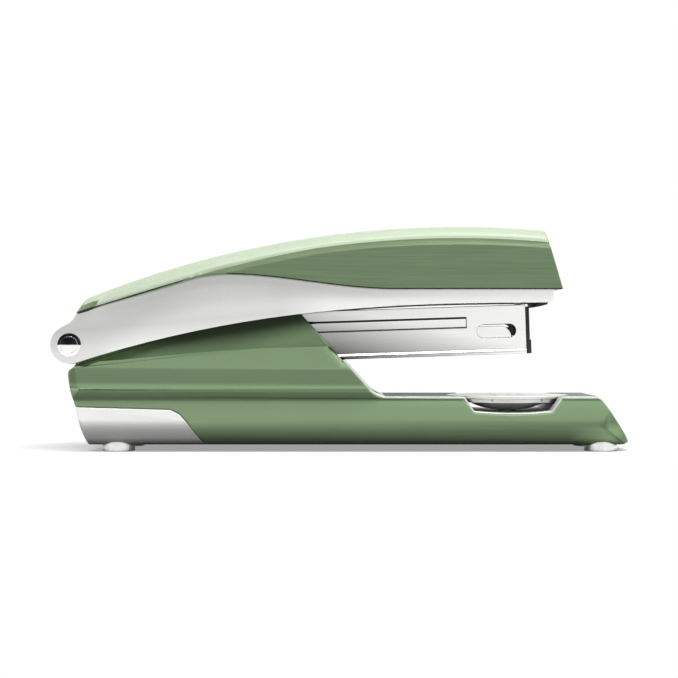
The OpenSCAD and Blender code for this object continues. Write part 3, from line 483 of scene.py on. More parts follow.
def knob_zinc(colours):
    """Dull zinc of the knob under the finger wheel."""
    fixed = {"Metallic": 0.05, "Specular IOR Level": 0.2}
    return surface("knob_zinc", grain(colours.knob_zinc, 0.93, 1.06, 1400), (0.4, 0.12, 900), None, fixed)


def pale_steel(colours):
    """Plated sheet of the deck, the anvil and the chassis."""
    colour = grain(colours.pale_steel, 0.92, 1.06, 900)
    return surface("pale_steel", colour, (0.22, 0.12, 700), None, {"Metallic": 0.4})


def painted_shade_steel(colours, name="painted_shade_steel", bright=1.0):
    """Pale steel darkened as painted shade, for the deck's top and the lever's inside."""
    colour = grain(colours.pale_steel, 0.15 * bright, 0.22 * bright, (300, 1800, 900))
    fixed = {"Metallic": 0.3, "Specular IOR Level": 0.2}
    return surface(name, colour, (0.45, 0.15, (400, 1500, 700)), None, fixed)


def pocket_steel(colours):
    """The painted-shade steel made 3.4 times lighter, for the anvil's pocket; still darker than the pale steel."""
    return painted_shade_steel(colours, "pocket_steel", 3.4)


def spring_steel(colours):
    """Tempered grey steel with a drawn grain."""
    colour = grain(colours.spring_grey, 0.75, 1.25, (120, 1600, 1600))
    return surface("spring_steel", colour, (0.25, 0.15, (300, 1200, 1200)), None, {"Metallic": 1.0})


def staple_zinc(colours):
    """Galvanised wire with the glue's dull patches, and painted shade that turns the front staples black."""
    def colour(f):
        zinc = grain(colours.staple_zinc, 0.8, 1.15, 400)(f)
        return f.blend(f.rise(f.along(), *STAPLE_SHADE), zinc, shade(colours.staple_zinc, 0.06))

    return surface("staple_zinc", colour, (0.28, 0.2, 500), None, {"Metallic": 0.95})


def dark_steel(colours):
    """Blackened steel of the nose plate."""
    colour = grain(colours.dark_steel, 0.7, 1.4, 1200, 2.0)
    return surface("dark_steel", colour, (0.3, 0.15, 800), None, {"Specular IOR Level": 0.15})


def dark_plastic(colours):
    """Moulded plastic with a fine spark-eroded grain."""
    colour = grain(colours.dark_plastic, 0.75, 1.3, 2200, 2.0)
    return surface("dark_plastic", colour, (0.42, 0.15, 1500), (0.02 * MM, 0.5, 2600, 2.0))


def foot_pearl(colours):
    """Pearl white plastic of the feet."""
    colour = grain(colours.foot_white, 0.93, 1.04, 1500, 2.0)
    return surface("foot_pearl", colour, (0.3, 0.15, 900), (0.02 * MM, 0.4, 2000, 2.0), {"Metallic": 0.8})


FINISH_OF_SLOT = {
    "green_base": green_lacquer,
    "green_cover": green_brushed,
    "silver_arm": satin_silver,
    "silver_trim": heel_silver,
    "chrome": chrome_plate,
    "pale_steel": pale_steel,
    "dark_steel": dark_steel,
    "spring_steel": spring_steel,
    "staple_wire": staple_zinc,
    "dark_plastic": dark_plastic,
    "foot_white": foot_pearl,
}


def finish_for(node):
    """The material of a CAD node's slot."""
    return FINISH_OF_SLOT[SLOT_OF[node]](bpy.context.scene.stapler_colours)


# Shaping: how near doubles lie, what counts as flat, the share of its radius by which a rounded point
# may stray, and the angle of a crease

X, Y, Z = range(3)
MERGE = 0.002 * MM
FLAT = math.radians(0.5)
STRAY = 0.75
CREASE = 42


def span(points, axis):
    """The least and greatest place of points along an axis."""
    places = [point[axis] for point in points]
    return min(places), max(places)


def corners_of(made):
    """The points of a mesh under construction."""
    return [vert.co for vert in made.verts]


def middle_of(edge):
    """The middle of an edge."""
    return (edge.verts[0].co + edge.verts[1].co) / 2


def paint_faces(made, index_of):
    """Gives each face the index of its finish, from the face and its middle."""
    for face in made.faces:
        face.material_index = int(index_of(face, face.calc_center_median()))


def merged_copy(node):
    """A CAD node's mesh with its doubles merged and its flat triangles joined."""
    made = bmesh.new()
    made.from_mesh(frame["nodes"][node].data)
    bmesh.ops.remove_doubles(made, verts=made.verts, dist=MERGE)
    bmesh.ops.dissolve_limit(made, angle_limit=FLAT, verts=made.verts, edges=made.edges)
    return made


def round_edges(made, radius, least_angle=28, segments=3, chosen=lambda edge: True):
    """Rounds the sharp edges that are chosen, and keeps every point near the old skin and in its box."""
    edges = [
        edge
        for edge in made.edges
        if len(edge.link_faces) == 2
        and edge.calc_face_angle(0) > math.radians(least_angle)
        and chosen(edge)
    ]
    skin = BVHTree.FromBMesh(made)
    limits = [span(corners_of(made), axis) for axis in (X, Y, Z)]
    bmesh.ops.bevel(
        made, geom=edges, offset=radius, offset_type="OFFSET", segments=segments, profile=0.5, affect="EDGES"
    )
    for vert in made.verts:
        nearest, _, _, distance = skin.find_nearest(vert.co)
        if distance > STRAY * radius:
            vert.co = nearest
        vert.co = [min(max(place, low), high) for place, (low, high) in zip(vert.co, limits)]


def baked_mesh(holder):
    """The plain mesh that an object's modifiers make. The object goes."""
    bpy.context.scene.collection.objects.link(holder)
    bpy.context.view_layer.update()
    seen = holder.evaluated_get(bpy.context.evaluated_depsgraph_get())
    mesh = bpy.data.meshes.new_from_object(seen)
    holder.modifiers.clear()
    bpy.data.objects.remove(holder)
    return mesh


def smooth_mesh(made, crease):
    """A mesh with smooth faces, flat faces that stay flat, and creases past an angle that each edge gives."""
    for face in made.faces:
        face.smooth = True
    for edge in made.edges:
        edge.smooth = edge.calc_face_angle(0) < math.radians(crease(edge))
    mesh = bpy.data.meshes.new("unsmoothed")
    made.to_mesh(mesh)
    made.free()
    holder = bpy.data.objects.new("unsmoothed", mesh)
    holder.modifiers.new("flat faces", "WEIGHTED_NORMAL").keep_sharp = True
    return baked_mesh(holder)


def publish(node, mesh, *finishes):
    """Makes a finished piece that stands for a CAD node and rides on its body."""
    piece = bpy.data.objects.new(node + "_dressed", mesh)
    mesh.name = piece.name
    bpy.context.scene.collection.objects.link(piece)
    for finish in finishes:
        mesh.materials.append(finish(bpy.context.scene.stapler_colours))
    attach(piece, BODY_OF[node])
    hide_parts(node)
    return piece


def publish_shaped(node, made, *finishes, crease=lambda edge: CREASE):
    """A piece from a shaped mesh, in its slot's finish where no other is named."""
    publish(node, smooth_mesh(made, crease), *(finishes or [FINISH_OF_SLOT[SLOT_OF[node]]]))


def rounded_piece(node, radius):
    """A piece with a CAD node's shape and rounded edges."""
    made = merged_copy(node)
    round_edges(made, radius)
    publish_shaped(node, made)


def dress_node(node):
    """Gives a CAD node that keeps its own shape its finish."""
    mesh = frame["nodes"][node].data
    mesh.materials.clear()
    mesh.materials.append(finish_for(node))


def lathe(profile, segments=72):
    """A closed turned shape about Z from (radius, height) points, with poles where the radius is 0."""
    made = bmesh.new()
    rings = []
    for radius, height in profile:
        turns = [2 * math.pi * step / segments for step in range(segments if radius else 1)]
        rings.append([made.verts.new((radius * math.cos(t), radius * math.sin(t), height)) for t in turns])
    for first, second in zip(rings, rings[1:]):
        for step in range(segments):
            after = (step + 1) % segments
            corners = [
                first[step % len(first)], first[after % len(first)],
                second[after % len(second)], second[step % len(second)],
            ]
            made.faces.new(list(dict.fromkeys(corners)))
    bmesh.ops.recalc_face_normals(made, faces=made.faces)
    return made


# Repeats

class Repeat(Nodes):
    """A geometry tree with named inputs, a material among them."""

    def __init__(self, name, **inputs):
        super().__init__(bpy.data.node_groups.new(name, "GeometryNodeTree"))
        for label, kind in {**inputs, "Material": "Material"}.items():
            self.tree.interface.new_socket(label, in_out="INPUT", socket_type="NodeSocket" + kind)
        self.tree.interface.new_socket("Geometry", in_out="OUTPUT", socket_type="NodeSocketGeometry")

    def given(self, label):
        """One of the tree's named inputs."""
        return self.node("NodeGroupInput", output=label)

    def vector(self, x=0.0, y=0.0, z=0.0):
        """A vector from three numbers."""
        return self.node("ShaderNodeCombineXYZ", {0: x, 1: y, 2: z})

    def moved(self, geometry, *place):
        """A shape moved to a place."""
        sockets = {"Geometry": geometry, "Translation": self.vector(*place)}
        return self.node("GeometryNodeTransform", sockets)

    def box(self, *size):
        """A box of a size round the origin."""
        return self.node("GeometryNodeMeshCube", {"Size": self.vector(*size)})

    def joined(self, *shapes):
        """Several shapes as one."""
        return self.node("GeometryNodeJoinGeometry", {"Geometry": list(shapes)})

    def row(self, step, shape):
        """A shape repeated by a step, as often as the count says."""
        line = self.node("GeometryNodeMeshLine", {"Count": self.given("Count"), "Offset": step})
        return self.node("GeometryNodeInstanceOnPoints", {"Points": line, "Instance": shape})

    def end(self, geometry, smooth=False):
        """Realises the instances, sets the material and closes the tree."""
        real = self.node("GeometryNodeRealizeInstances", {"Geometry": geometry})
        if smooth:
            real = self.node("GeometryNodeSetShadeSmooth", {"Geometry": real})
        done = self.node("GeometryNodeSetMaterial", {"Geometry": real, "Material": self.given("Material")})
        self.node("NodeGroupOutput", {"Geometry": done})
        return self.tree


def repeated_mesh(tree, values, place):
    """The plain mesh that a geometry tree makes from named values, moved to its place."""
    holder = bpy.data.objects.new(tree.name, bpy.data.meshes.new(tree.name))
    modifier = holder.modifiers.new(tree.name, "NODES")
    modifier.node_group = tree
    for item in tree.interface.items_tree:
        if item.in_out == "INPUT":
            modifier[item.identifier] = values[item.name]
    mesh = baked_mesh(holder)
    mesh.transform(place)
    return mesh


# Shares: of the pitch that a staple fills, and of its head's radius that a screw's slot is long and wide

STAPLE_FILL = 0.9
SLOT_LONG = 1.2
SLOT_WIDE = 0.2


def staple_tree():
    """A row of staples along X: a crown and two legs each, with the crown's middle at the origin."""
    made = Repeat(
        "staple_row", Count="Int", Pitch="Float", Inner="Float", Leg="Float", Wire="Float", Thick="Float"
    )
    pitch, inner, leg = made.given("Pitch"), made.given("Inner"), made.given("Leg")
    wire, thick = made.given("Wire"), made.given("Thick")
    run = pitch * STAPLE_FILL
    crown = made.moved(made.box(run, inner + wire * 2.0, thick), 0.0, 0.0, thick * -0.5)
    legs = [
        made.moved(made.box(run, wire, leg), 0.0, (inner + wire) * half, leg * -0.5)
        for half in (0.5, -0.5)
    ]
    return made.end(made.row(made.vector(pitch), made.joined(crown, *legs)))


def coil_tree():
    """A wound wire along Z."""
    made = Repeat("wound_spring", Turns="Float", Radius="Float", Length="Float", Wire="Float")
    line = made.node("GeometryNodeCurveSpiral", {
        "Resolution": 24, "Rotations": made.given("Turns"), "Start Radius": made.given("Radius"),
        "End Radius": made.given("Radius"), "Height": made.given("Length"),
    })
    ring = made.node("GeometryNodeCurvePrimitiveCircle", {"Resolution": 10, "Radius": made.given("Wire")})
    tube = made.node("GeometryNodeCurveToMesh", {"Curve": line, "Profile Curve": ring, "Fill Caps": True})
    return made.end(tube, smooth=True)


def screw_tree():
    """A row of pan-head screws with crossed slots. The heads face -Z and start at the origin."""
    made = Repeat(
        "screw_row", Count="Int", Step="Vector", Pan="Float", Head="Float", Rod="Float", Shank="Float"
    )
    pan, head = made.given("Pan"), made.given("Head")

    def bar(radius, depth, low, vertices):
        rod = made.node("GeometryNodeMeshCylinder", {"Vertices": vertices, "Radius": radius, "Depth": depth})
        return made.moved(rod, 0.0, 0.0, depth * 0.5 + low)

    slots = [made.box(pan * x, pan * y, head) for x, y in ((SLOT_LONG, SLOT_WIDE), (SLOT_WIDE, SLOT_LONG))]
    sockets = {"Mesh 1": bar(pan, head, 0.0, 32), "Mesh 2": slots}
    crossed = made.node("GeometryNodeMeshBoolean", sockets, operation="DIFFERENCE")
    shank = bar(made.given("Rod"), made.given("Shank"), head, 24)
    return made.end(made.row(made.given("Step"), made.joined(crossed, shank)))


def grip_tree():
    """Small ribs round a wheel's rim, about Z."""
    made = Repeat("wheel_grips", Count="Int", Radius="Float", Rib="Vector")
    sockets = {"Vertices": made.given("Count"), "Radius": made.given("Radius")}
    ring = made.node("GeometryNodeMeshCircle", sockets)
    place = made.node("GeometryNodeInputPosition")
    turn = made.node("FunctionNodeAlignEulerToVector", {"Vector": place}, axis="X", pivot_axis="Z")
    rib = made.node("GeometryNodeMeshCube", {"Size": made.given("Rib")})
    sockets = {"Points": ring, "Instance": rib, "Rotation": turn}
    return made.end(made.node("GeometryNodeInstanceOnPoints", sockets))


# The cover's lines, from the hinge, in millimetres, and its shares of the length

CROWN = [Vector(p) for p in ((5.0, 13.0), (47.0, 29.8), (89.75, 34.7), (128.35, 31.3))]
CROWN_SAG = 0.22
EDGE_REAR = Vector((2.0, 8.5))
EDGE_CREST = Vector((42.0, 19.1))
EDGE_BEND = 10.0
EDGE_FLAT = 88.0
EDGE_FRONT = 15.05
COVER_TIP = 133.15
COVER_RIBS = 110
INNER_ENDS = (0.011, 0.988)
REAR_LAG = 0.15
REAR_DEEP = 0.55
TAIL = (0.042, 0.066)
TAIL_DEEP = 0.55
TAIL_GROWS = 2
SWEEP = (0.3, 0.85)
WALL_SHARE = 0.85
NEXT = 0.01
HEM = 0.04
FOLD = 0.06
BAND_LEAN = 0.4
SWEPT_LEAN = 0.2
BAND_POINTS = ((0.12, 0.05), (0.55, 0.7), (1.0, 1.0))
SIDE_ROWS = 3 + len(BAND_POINTS)
SHOULDER_WIDE = 5.0
SHOULDER_TURN = (math.radians(12), math.radians(88))
SHOULDER_STEPS = 12


def smooth_step(value, low, high):
    """A share that goes smoothly from 0 at low to 1 at high."""
    share = max(0.0, min(1.0, (value - low) / (high - low)))
    return share * share * (3 - 2 * share)


def crown_at(t):
    """A point of the cover's crown line."""
    s = 1 - t
    return CROWN[0] * s ** 3 + CROWN[1] * 3 * t * s * s + CROWN[2] * 3 * t * t * s + CROWN[3] * t ** 3


def edge_at(x):
    """Height of the cover's lower edge: a straight rise, a crest and a flat front."""
    if x < EDGE_CREST.x:
        rise = (EDGE_CREST.y - EDGE_REAR.y) / (EDGE_CREST.x - EDGE_REAR.x - EDGE_BEND / 2)
        over = max(0.0, x - EDGE_CREST.x + EDGE_BEND)
        return EDGE_REAR.y + rise * (x - EDGE_REAR.x) - rise * over * over / (2 * EDGE_BEND)
    return EDGE_CREST.y + (EDGE_FRONT - EDGE_CREST.y) * smooth_step(x, EDGE_CREST.x, EDGE_FLAT)


def cover_section(height, half, shoulder, band, sweep):
    """Half a cross section from the lower edge to the crown, as (side, depth below the crown)."""
    crease = min(shoulder, height - 2 * FOLD)
    low = min(crease + band, height - FOLD)
    lean = (BAND_LEAN + SWEPT_LEAN * sweep) * (low - crease) / band
    points = [(half, depth) for depth in (height, height - HEM, (height + low) / 2, low)]
    points += [
        (half - lean * (rise + (swept - rise) * sweep), low - (low - crease) * rise)
        for rise, swept in BAND_POINTS
    ]
    outer = half - lean - FOLD
    start, end = SHOULDER_TURN
    for step in range(SHOULDER_STEPS + 1):
        turn = start + (end - start) * step / SHOULDER_STEPS
        inward = (math.cos(start) - math.cos(turn)) / (math.cos(start) - math.cos(end))
        upward = (math.sin(turn) - math.sin(start)) / (math.sin(end) - math.sin(start))
        depth = CROWN_SAG + (crease - FOLD - CROWN_SAG) * (1 - upward)
        points.append((outer - SHOULDER_WIDE * inward, depth))
    inner = outer - SHOULDER_WIDE
    return points + [(inner * side, CROWN_SAG * side ** 2) for side in (0.75, 0.5, 0.25, 0.0)]


def cover_rib(t, wall, half, shoulder, band):
    """One rib of the cover, from one lower edge over the crown to the other, in millimetres."""
    crown = crown_at(t) - Vector((0, wall))
    foot_x = EDGE_REAR.x + (COVER_TIP - EDGE_REAR.x) * t ** (1 + REAR_LAG * (1 - t))
    foot = Vector((foot_x, edge_at(foot_x)))
    height = crown.y - foot.y
    ahead = crown_at(t + NEXT) - crown_at(t)
    slant = 1 - ahead.y / ahead.x * (crown.x - foot.x) / height
    deep = shoulder * (1 + REAR_DEEP * max(0.0, 1 - 2 * t)) / slant
    deep = min(deep, height * (TAIL_DEEP + TAIL_GROWS * smooth_step(t, *TAIL)))
    side = cover_section(height, half - wall, deep - WALL_SHARE * wall, band, smooth_step(t, *SWEEP))
    whole = [(-y, depth) for y, depth in side] + side[-2::-1]
    return [
        Vector((crown.x + (foot.x - crown.x) * depth / height, y, crown.y - depth)) for y, depth in whole
    ]


class STAPLER_OT_top_cover(bpy.types.Operator):
    """Makes the green cover with its glossy shoulder and brushed sides"""

    bl_idname = "stapler.top_cover"
    bl_label = "Top Cover"

    def execute(self, context):
        sizes = context.scene.stapler_sizes
        shape = (sizes.cover_half / MM, sizes.shoulder / MM, sizes.band / MM)
        made = bmesh.new()
        outer = self.ribs(made, (0.0, 1.0), 0.0, shape)
        inner = self.ribs(made, INNER_ENDS, sizes.cover_wall / MM, shape)
        self.add_faces(made, outer, inner)
        bmesh.ops.recalc_face_normals(made, faces=made.faces)
        made.transform(IN_HINGE)
        round_edges(made, sizes.cover_round, least_angle=40)
        publish_shaped("top_cover", made, green_brushed, green_gloss, crease=lambda edge: 30)
        return {"FINISHED"}

    @staticmethod
    def ribs(made, ends, wall, shape):
        """The ribs of one skin, from the rear to the front."""
        low, high = ends
        shares = [low + (high - low) * step / COVER_RIBS for step in range(COVER_RIBS + 1)]
        return [[made.verts.new(point * MM) for point in cover_rib(t, wall, *shape)] for t in shares]

    @staticmethod
    def add_faces(made, outer, inner):
        """Faces over both skins, along their lower edges and across their ends."""
        last = len(outer[0]) - 2
        for skin, turn in ((outer, 1), (inner, -1)):
            for rear, front in zip(skin, skin[1:]):
                for row in range(last + 1):
                    ring = [rear[row], front[row], front[row + 1], rear[row + 1]]
                    face = made.faces.new(ring[::turn])
                    face.material_index = 0 if min(row, last - row) < SIDE_ROWS else 1
            made.faces.new(skin[0][::turn])
            made.faces.new(skin[-1][::-turn])
        for edge, turn in ((0, 1), (-1, -1)):
            for rib in range(COVER_RIBS):
                ring = [outer[rib][edge], inner[rib][edge], inner[rib + 1][edge], outer[rib + 1][edge]]
                made.faces.new(ring[::turn])
        for end, turn in ((0, 1), (-1, -1)):
            ring = [outer[end][0], outer[end][-1], inner[end][-1], inner[end][0]]
            made.faces.new(ring[::turn])


# Cuts and levels at which the lever's plates are bowed, from the hinge

CUT_START, CUT_STEP, CUT_COUNT = 7 * MM, 3 * MM, 42
LEVEL_START, LEVEL_STEP, LEVEL_COUNT = -3 * MM, 1.25 * MM, 19
FADE_CUTS = 6
HAIR = 0.01 * MM


class STAPLER_OT_lever_arm(bpy.types.Operator):
    """Makes the folded silver lever with rounded edges"""

    bl_idname = "stapler.lever_arm"
    bl_label = "Lever Arm"

    def execute(self, context):
        sizes = context.scene.stapler_sizes
        made = merged_copy("lever_arm")
        self.crown_plates(made, sizes.plate_crown)
        round_edges(made, sizes.plate_round)
        # The lever's inner faces take the painted-shade steel
        turned_in = [face for face in made.faces if face.normal.y * face.calc_center_median().y < 0]
        widest = max(turned_in, key=lambda face: face.calc_area() * abs(face.normal.y))
        inside = abs(widest.calc_center_median().y) + 2 * HAIR
        paint_faces(made, lambda face, at: abs(at.y) < inside)
        publish_shaped("lever_arm", made, satin_silver, painted_shade_steel)
        return {"FINISHED"}

    @staticmethod
    def crown_plates(made, crown):
        """Bows the plates' outer faces from their lower edge to the cover's edge, fading out at the hinge."""
        outside = span(corners_of(made), Y)[1]
        cuts = [HINGE.x + CUT_START + CUT_STEP * step for step in range(CUT_COUNT)]
        levels = [HINGE.z + LEVEL_START + LEVEL_STEP * step for step in range(LEVEL_COUNT)]
        for axis, places in (((1, 0, 0), cuts), ((0, 0, 1), levels)):
            for place in places:
                everything = made.verts[:] + made.edges[:] + made.faces[:]
                bmesh.ops.bisect_plane(made, geom=everything, plane_co=Vector(axis) * place, plane_no=axis)
        outer = [vert for vert in made.verts if abs(vert.co.y) > outside - HAIR]
        lows = [min(vert.co.z for vert in outer if abs(vert.co.x - cut) < HAIR) for cut in cuts]
        for vert in outer:
            along = (vert.co.x - cuts[0]) / CUT_STEP
            if along <= 0:
                continue
            at = min(int(along), CUT_COUNT - 2)
            low = lows[at] + (lows[at + 1] - lows[at]) * (along - at)
            tall = HINGE.z + edge_at((vert.co.x - HINGE.x) / MM) * MM - low
            across = min(1.0, (vert.co.z - low) / tall)
            fade = min(1.0, along / FADE_CUTS)
            vert.co.y -= math.copysign(crown * fade * tall * (2 * across - 1) ** 2, vert.co.y)


# Places on the base shell, its creases in degrees, and shares of a normal that tell its faces apart

TOE_START = 50 * MM
HEEL_END = -69 * MM
BAND_FOOT = 12.6 * MM
RIM_FOOT = 22 * MM
LEDGE_FOOT = 22.3 * MM
LEDGE_SIDE = 14 * MM
THROAT_FRONT = 20 * MM
SOFT_CREASE = 60
CRISP_CREASE = 15
LEDGE_FACE = 0.8
FLANK_FACE = 0.6
SLOPE_FACE = 0.25


class STAPLER_OT_base_shell(bpy.types.Operator):
    """Makes the green base shell with its bevel beside the throat"""

    bl_idname = "stapler.base_shell"
    bl_label = "Base Shell"

    def execute(self, context):
        sizes = context.scene.stapler_sizes
        made = merged_copy("base_shell")
        round_edges(made, sizes.throat_round, segments=2, chosen=self.beside_throat)
        round_edges(made, sizes.shell_round, chosen=self.off_rim)
        publish_shaped("base_shell", made, crease=self.crease)
        return {"FINISHED"}

    @staticmethod
    def crease(edge):
        """Crisp creases along the flared band, and softer ones at both ends and under the flank."""
        middle = middle_of(edge)
        if not HEEL_END <= middle.x <= TOE_START:
            return SOFT_CREASE
        return CRISP_CREASE if middle.z > BAND_FOOT else CREASE

    @staticmethod
    def off_rim(edge):
        """False for the ledge's rim under the lever, which stays crisp."""
        middle = middle_of(edge)
        topped = max(face.normal.z for face in edge.link_faces) > LEDGE_FACE
        under_lever = HEEL_END < middle.x < 0 and abs(middle.y) > LEDGE_SIDE
        return not (topped and middle.z > RIM_FOOT and under_lever)

    @staticmethod
    def beside_throat(edge):
        """True for an edge between the ledge and the throat's slope."""
        slope, flank = sorted((face.normal for face in edge.link_faces), key=lambda normal: abs(normal.y))
        middle = middle_of(edge)
        beside = abs(flank.y) > FLANK_FACE and slope.x > SLOPE_FACE and abs(middle.y) > LEDGE_SIDE
        return beside and middle.x < THROAT_FRONT and middle.z > LEDGE_FOOT


class STAPLER_OT_heel_trim(bpy.types.Operator):
    """Makes the silver trim round the heel"""

    bl_idname = "stapler.heel_trim"
    bl_label = "Heel Trim"

    def execute(self, context):
        rounded_piece("heel_trim", context.scene.stapler_sizes.heel_round)
        return {"FINISHED"}


# Where the deck's pocket starts and counts as deep, and shares of a normal that tell its faces apart

POCKET_REAR = 30 * MM
POCKET_DEEP = 0.3 * MM
DECK_SLACK = 0.1 * MM
TOP_FACE = 0.9
SIDE_FACE = 0.5


class STAPLER_OT_deck(bpy.types.Operator):
    """Makes the pressed deck that lines the throat"""

    bl_idname = "stapler.deck"
    bl_label = "Deck"

    def execute(self, context):
        made = merged_copy("deck_plate")
        round_edges(made, context.scene.stapler_sizes.sheet_round)
        flat = [face for face in made.faces if face.normal.z > TOP_FACE]
        level = max(flat, key=lambda face: face.calc_area()).calc_center_median().z

        # The deck's top takes the painted-shade steel, and the pocket's deep faces its lighter copy
        def finish_index(face, at):
            if at.x > POCKET_REAR and at.z < level - POCKET_DEEP and abs(face.normal.y) < SIDE_FACE:
                return 2
            return face.normal.z > TOP_FACE and abs(at.z - level) < DECK_SLACK

        paint_faces(made, finish_index)
        publish_shaped("deck_plate", made, pale_steel, painted_shade_steel, pocket_steel)
        return {"FINISHED"}


class STAPLER_OT_feet(bpy.types.Operator):
    """Makes the four pale feet"""

    bl_idname = "stapler.feet"
    bl_label = "Feet"

    def execute(self, context):
        for node in ("rear_feet", "front_feet"):
            rounded_piece(node, context.scene.stapler_sizes.block_round)
        return {"FINISHED"}


# The finger wheel's rim and the ribs on it

WHEEL_TALL = 1.15 * MM
GRIP_SIZE = Vector((0.3 * MM, 0.7 * MM, 0.55 * MM))
GRIP_INSET = 0.1 * MM
GRIP_TURN = -1.03


class STAPLER_OT_anvil(bpy.types.Operator):
    """Makes the turning anvil: its disc, its finger wheel with grips, and its post"""

    bl_idname = "stapler.anvil"
    bl_label = "Anvil"

    def execute(self, context):
        sizes = context.scene.stapler_sizes
        rounded_piece("anvil_plate", sizes.sheet_round)
        low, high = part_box("anvil_hub")
        wheel = merged_copy("anvil_hub")
        round_edges(wheel, sizes.sheet_round)
        paint_faces(wheel, lambda face, at: at.z < high.z - WHEEL_TALL)
        publish_shaped("anvil_hub", wheel, pale_steel, knob_zinc)
        middle = Vector((ANVIL.x, ANVIL.y, high.z - GRIP_INSET - GRIP_SIZE.z / 2))
        ribs = repeated_mesh(grip_tree(), {
            "Count": sizes.wheel_grips, "Radius": (high.x - low.x) / 2, "Rib": GRIP_SIZE,
            "Material": finish_for("anvil_post"),
        }, Matrix.Translation(middle) @ Matrix.Rotation(GRIP_TURN, 4, "Z"))
        grips = bpy.data.objects.new("anvil_grips", ribs)
        context.scene.collection.objects.link(grips)
        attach(grips, BODY_OF["anvil_hub"])
        for node in ("anvil_post", "anvil_retainer"):
            dress_node(node)
        return {"FINISHED"}


# The rivet's head: its radii, the depths of its ring groove by radius, in millimetres, and its foot

RIVET_GROOVE = {2.24: 0.0, 2.3: 0.09, 2.36: 0.09, 2.42: 0.0}
RIVET_RADII = (0.0, 0.4, 0.8, 1.2, 1.6, 2.0, *RIVET_GROOVE, 2.7, 3.0, 3.12)
RIVET_HEAD = 3.2 * MM
RIVET_SHANK = 2.2 * MM
RIVET_TALL = 1.1 * MM
RIVET_ROUND = Vector((0.05 * MM, 0.1 * MM))


class STAPLER_OT_hinge(bpy.types.Operator):
    """Makes the domed hinge rivet and its rings"""

    bl_idname = "stapler.hinge"
    bl_label = "Hinge"

    def execute(self, context):
        dome = context.scene.stapler_sizes.rivet_dome
        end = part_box("hinge_rivet")[1].y
        foot = end - RIVET_TALL
        half = []
        for radius in RIVET_RADII:
            fall = dome - math.sqrt(dome ** 2 - (radius * MM) ** 2)
            half.append((radius * MM, end - fall - RIVET_GROOVE.get(radius, 0.0) * MM))
        half += [(RIVET_HEAD, foot + RIVET_ROUND.y), (RIVET_HEAD - RIVET_ROUND.x, foot), (RIVET_SHANK, foot)]
        made = lathe([(radius, -height) for radius, height in half] + half[::-1])
        made.transform(IN_HINGE @ Matrix.Rotation(math.pi / 2, 4, "X"))
        inner, outer = [radius * MM for radius, depth in RIVET_GROOVE.items() if depth]
        paint_faces(made, lambda face, at: inner < math.hypot(at.x - HINGE.x, at.z - HINGE.z) < outer)
        publish_shaped("hinge_rivet", made, rivet_chrome, chrome_plate, crease=lambda edge: 50)
        for node in ("arm_spacers", "magazine_washers"):
            dress_node(node)
        return {"FINISHED"}


# The magazine's skin, bead and lips, and shares of a normal that tell its faces apart

SKIN_DEEP = 1.2 * MM
BEAD_TALL = 1.5 * MM
LIP_WALL = 0.55 * MM
BEAD_TOP = 0.2
CUT_FACE = 0.3


class STAPLER_OT_magazine(bpy.types.Operator):
    """Makes the chrome magazine case, its track and its dark nose"""

    bl_idname = "stapler.magazine"
    bl_label = "Magazine"

    def execute(self, context):
        sizes = context.scene.stapler_sizes
        self.make_case(sizes.case_round)
        track = merged_copy("staple_track")
        self.raise_lips(track, sizes.lip_rise)
        round_edges(track, sizes.sheet_round)
        publish_shaped("staple_track", track, chrome_plate)
        rounded_piece("nose_plate", sizes.case_round)
        rounded_piece("hinge_block", sizes.block_round)
        dress_node("guide_rod")
        return {"FINISHED"}

    @staticmethod
    def make_case(radius):
        """The case, with painted shade on its cut edges and pressed lines, and a bright top on the bead along its
        foot.
        """
        case = merged_copy("magazine_case")
        round_edges(case, radius)
        inside = span(corners_of(case), Y)[1] - SKIN_DEEP
        bead = min((TO_MAGAZINE @ vert.co).z for vert in case.verts) + BEAD_TALL

        # The bead takes the chrome with painted shade, its top plain chrome; cut edges and pressed lines take the
        # painted edge shade
        def finish_index(face, at):
            if (TO_MAGAZINE @ at).z < bead:
                return 2 if face.normal.z > BEAD_TOP else 0
            return max(abs(face.normal.x), -face.normal.z) > CUT_FACE and abs(at.y) > inside

        paint_faces(case, finish_index)
        publish_shaped("magazine_case", case, painted_shade_chrome, painted_edge_shade, chrome_plate)

    @staticmethod
    def raise_lips(track, rise):
        """Lifts the upper half of the track's side lips, so that they fill the case's windows."""
        track.transform(TO_MAGAZINE)
        outer = span(corners_of(track), Y)[1]
        lips = [vert for vert in track.verts if abs(vert.co.y) > outer - LIP_WALL]
        low, top = span([vert.co for vert in lips], Z)
        middle = (low + top) / 2
        for vert in lips:
            vert.co.z += rise * max(0.0, vert.co.z - middle) / (top - middle)
        track.transform(IN_MAGAZINE)


def magazine_points(node):
    """The points of a CAD node, as the magazine leans."""
    return [TO_MAGAZINE @ vert.co for vert in frame["nodes"][node].data.vertices]


class STAPLER_OT_staples(bpy.types.Operator):
    """Makes the strip of staples"""

    bl_idname = "stapler.staples"
    bl_label = "Staples"

    def execute(self, context):
        sizes = context.scene.stapler_sizes
        points = magazine_points("staple_strip")
        rear, front = span(points, X)
        top = span(points, Z)[1]
        pitch = sizes.staple_pitch
        count = int((front - rear) / pitch)
        mesh = repeated_mesh(staple_tree(), {
            "Count": count, "Pitch": pitch, "Inner": sizes.staple_inner, "Leg": sizes.staple_leg,
            "Wire": sizes.staple_wire, "Thick": sizes.staple_thick, "Material": finish_for("staple_strip"),
        }, IN_MAGAZINE @ Matrix.Translation((front - pitch * (count - 0.5), 0, top)))
        publish("staple_strip", mesh)
        return {"FINISHED"}


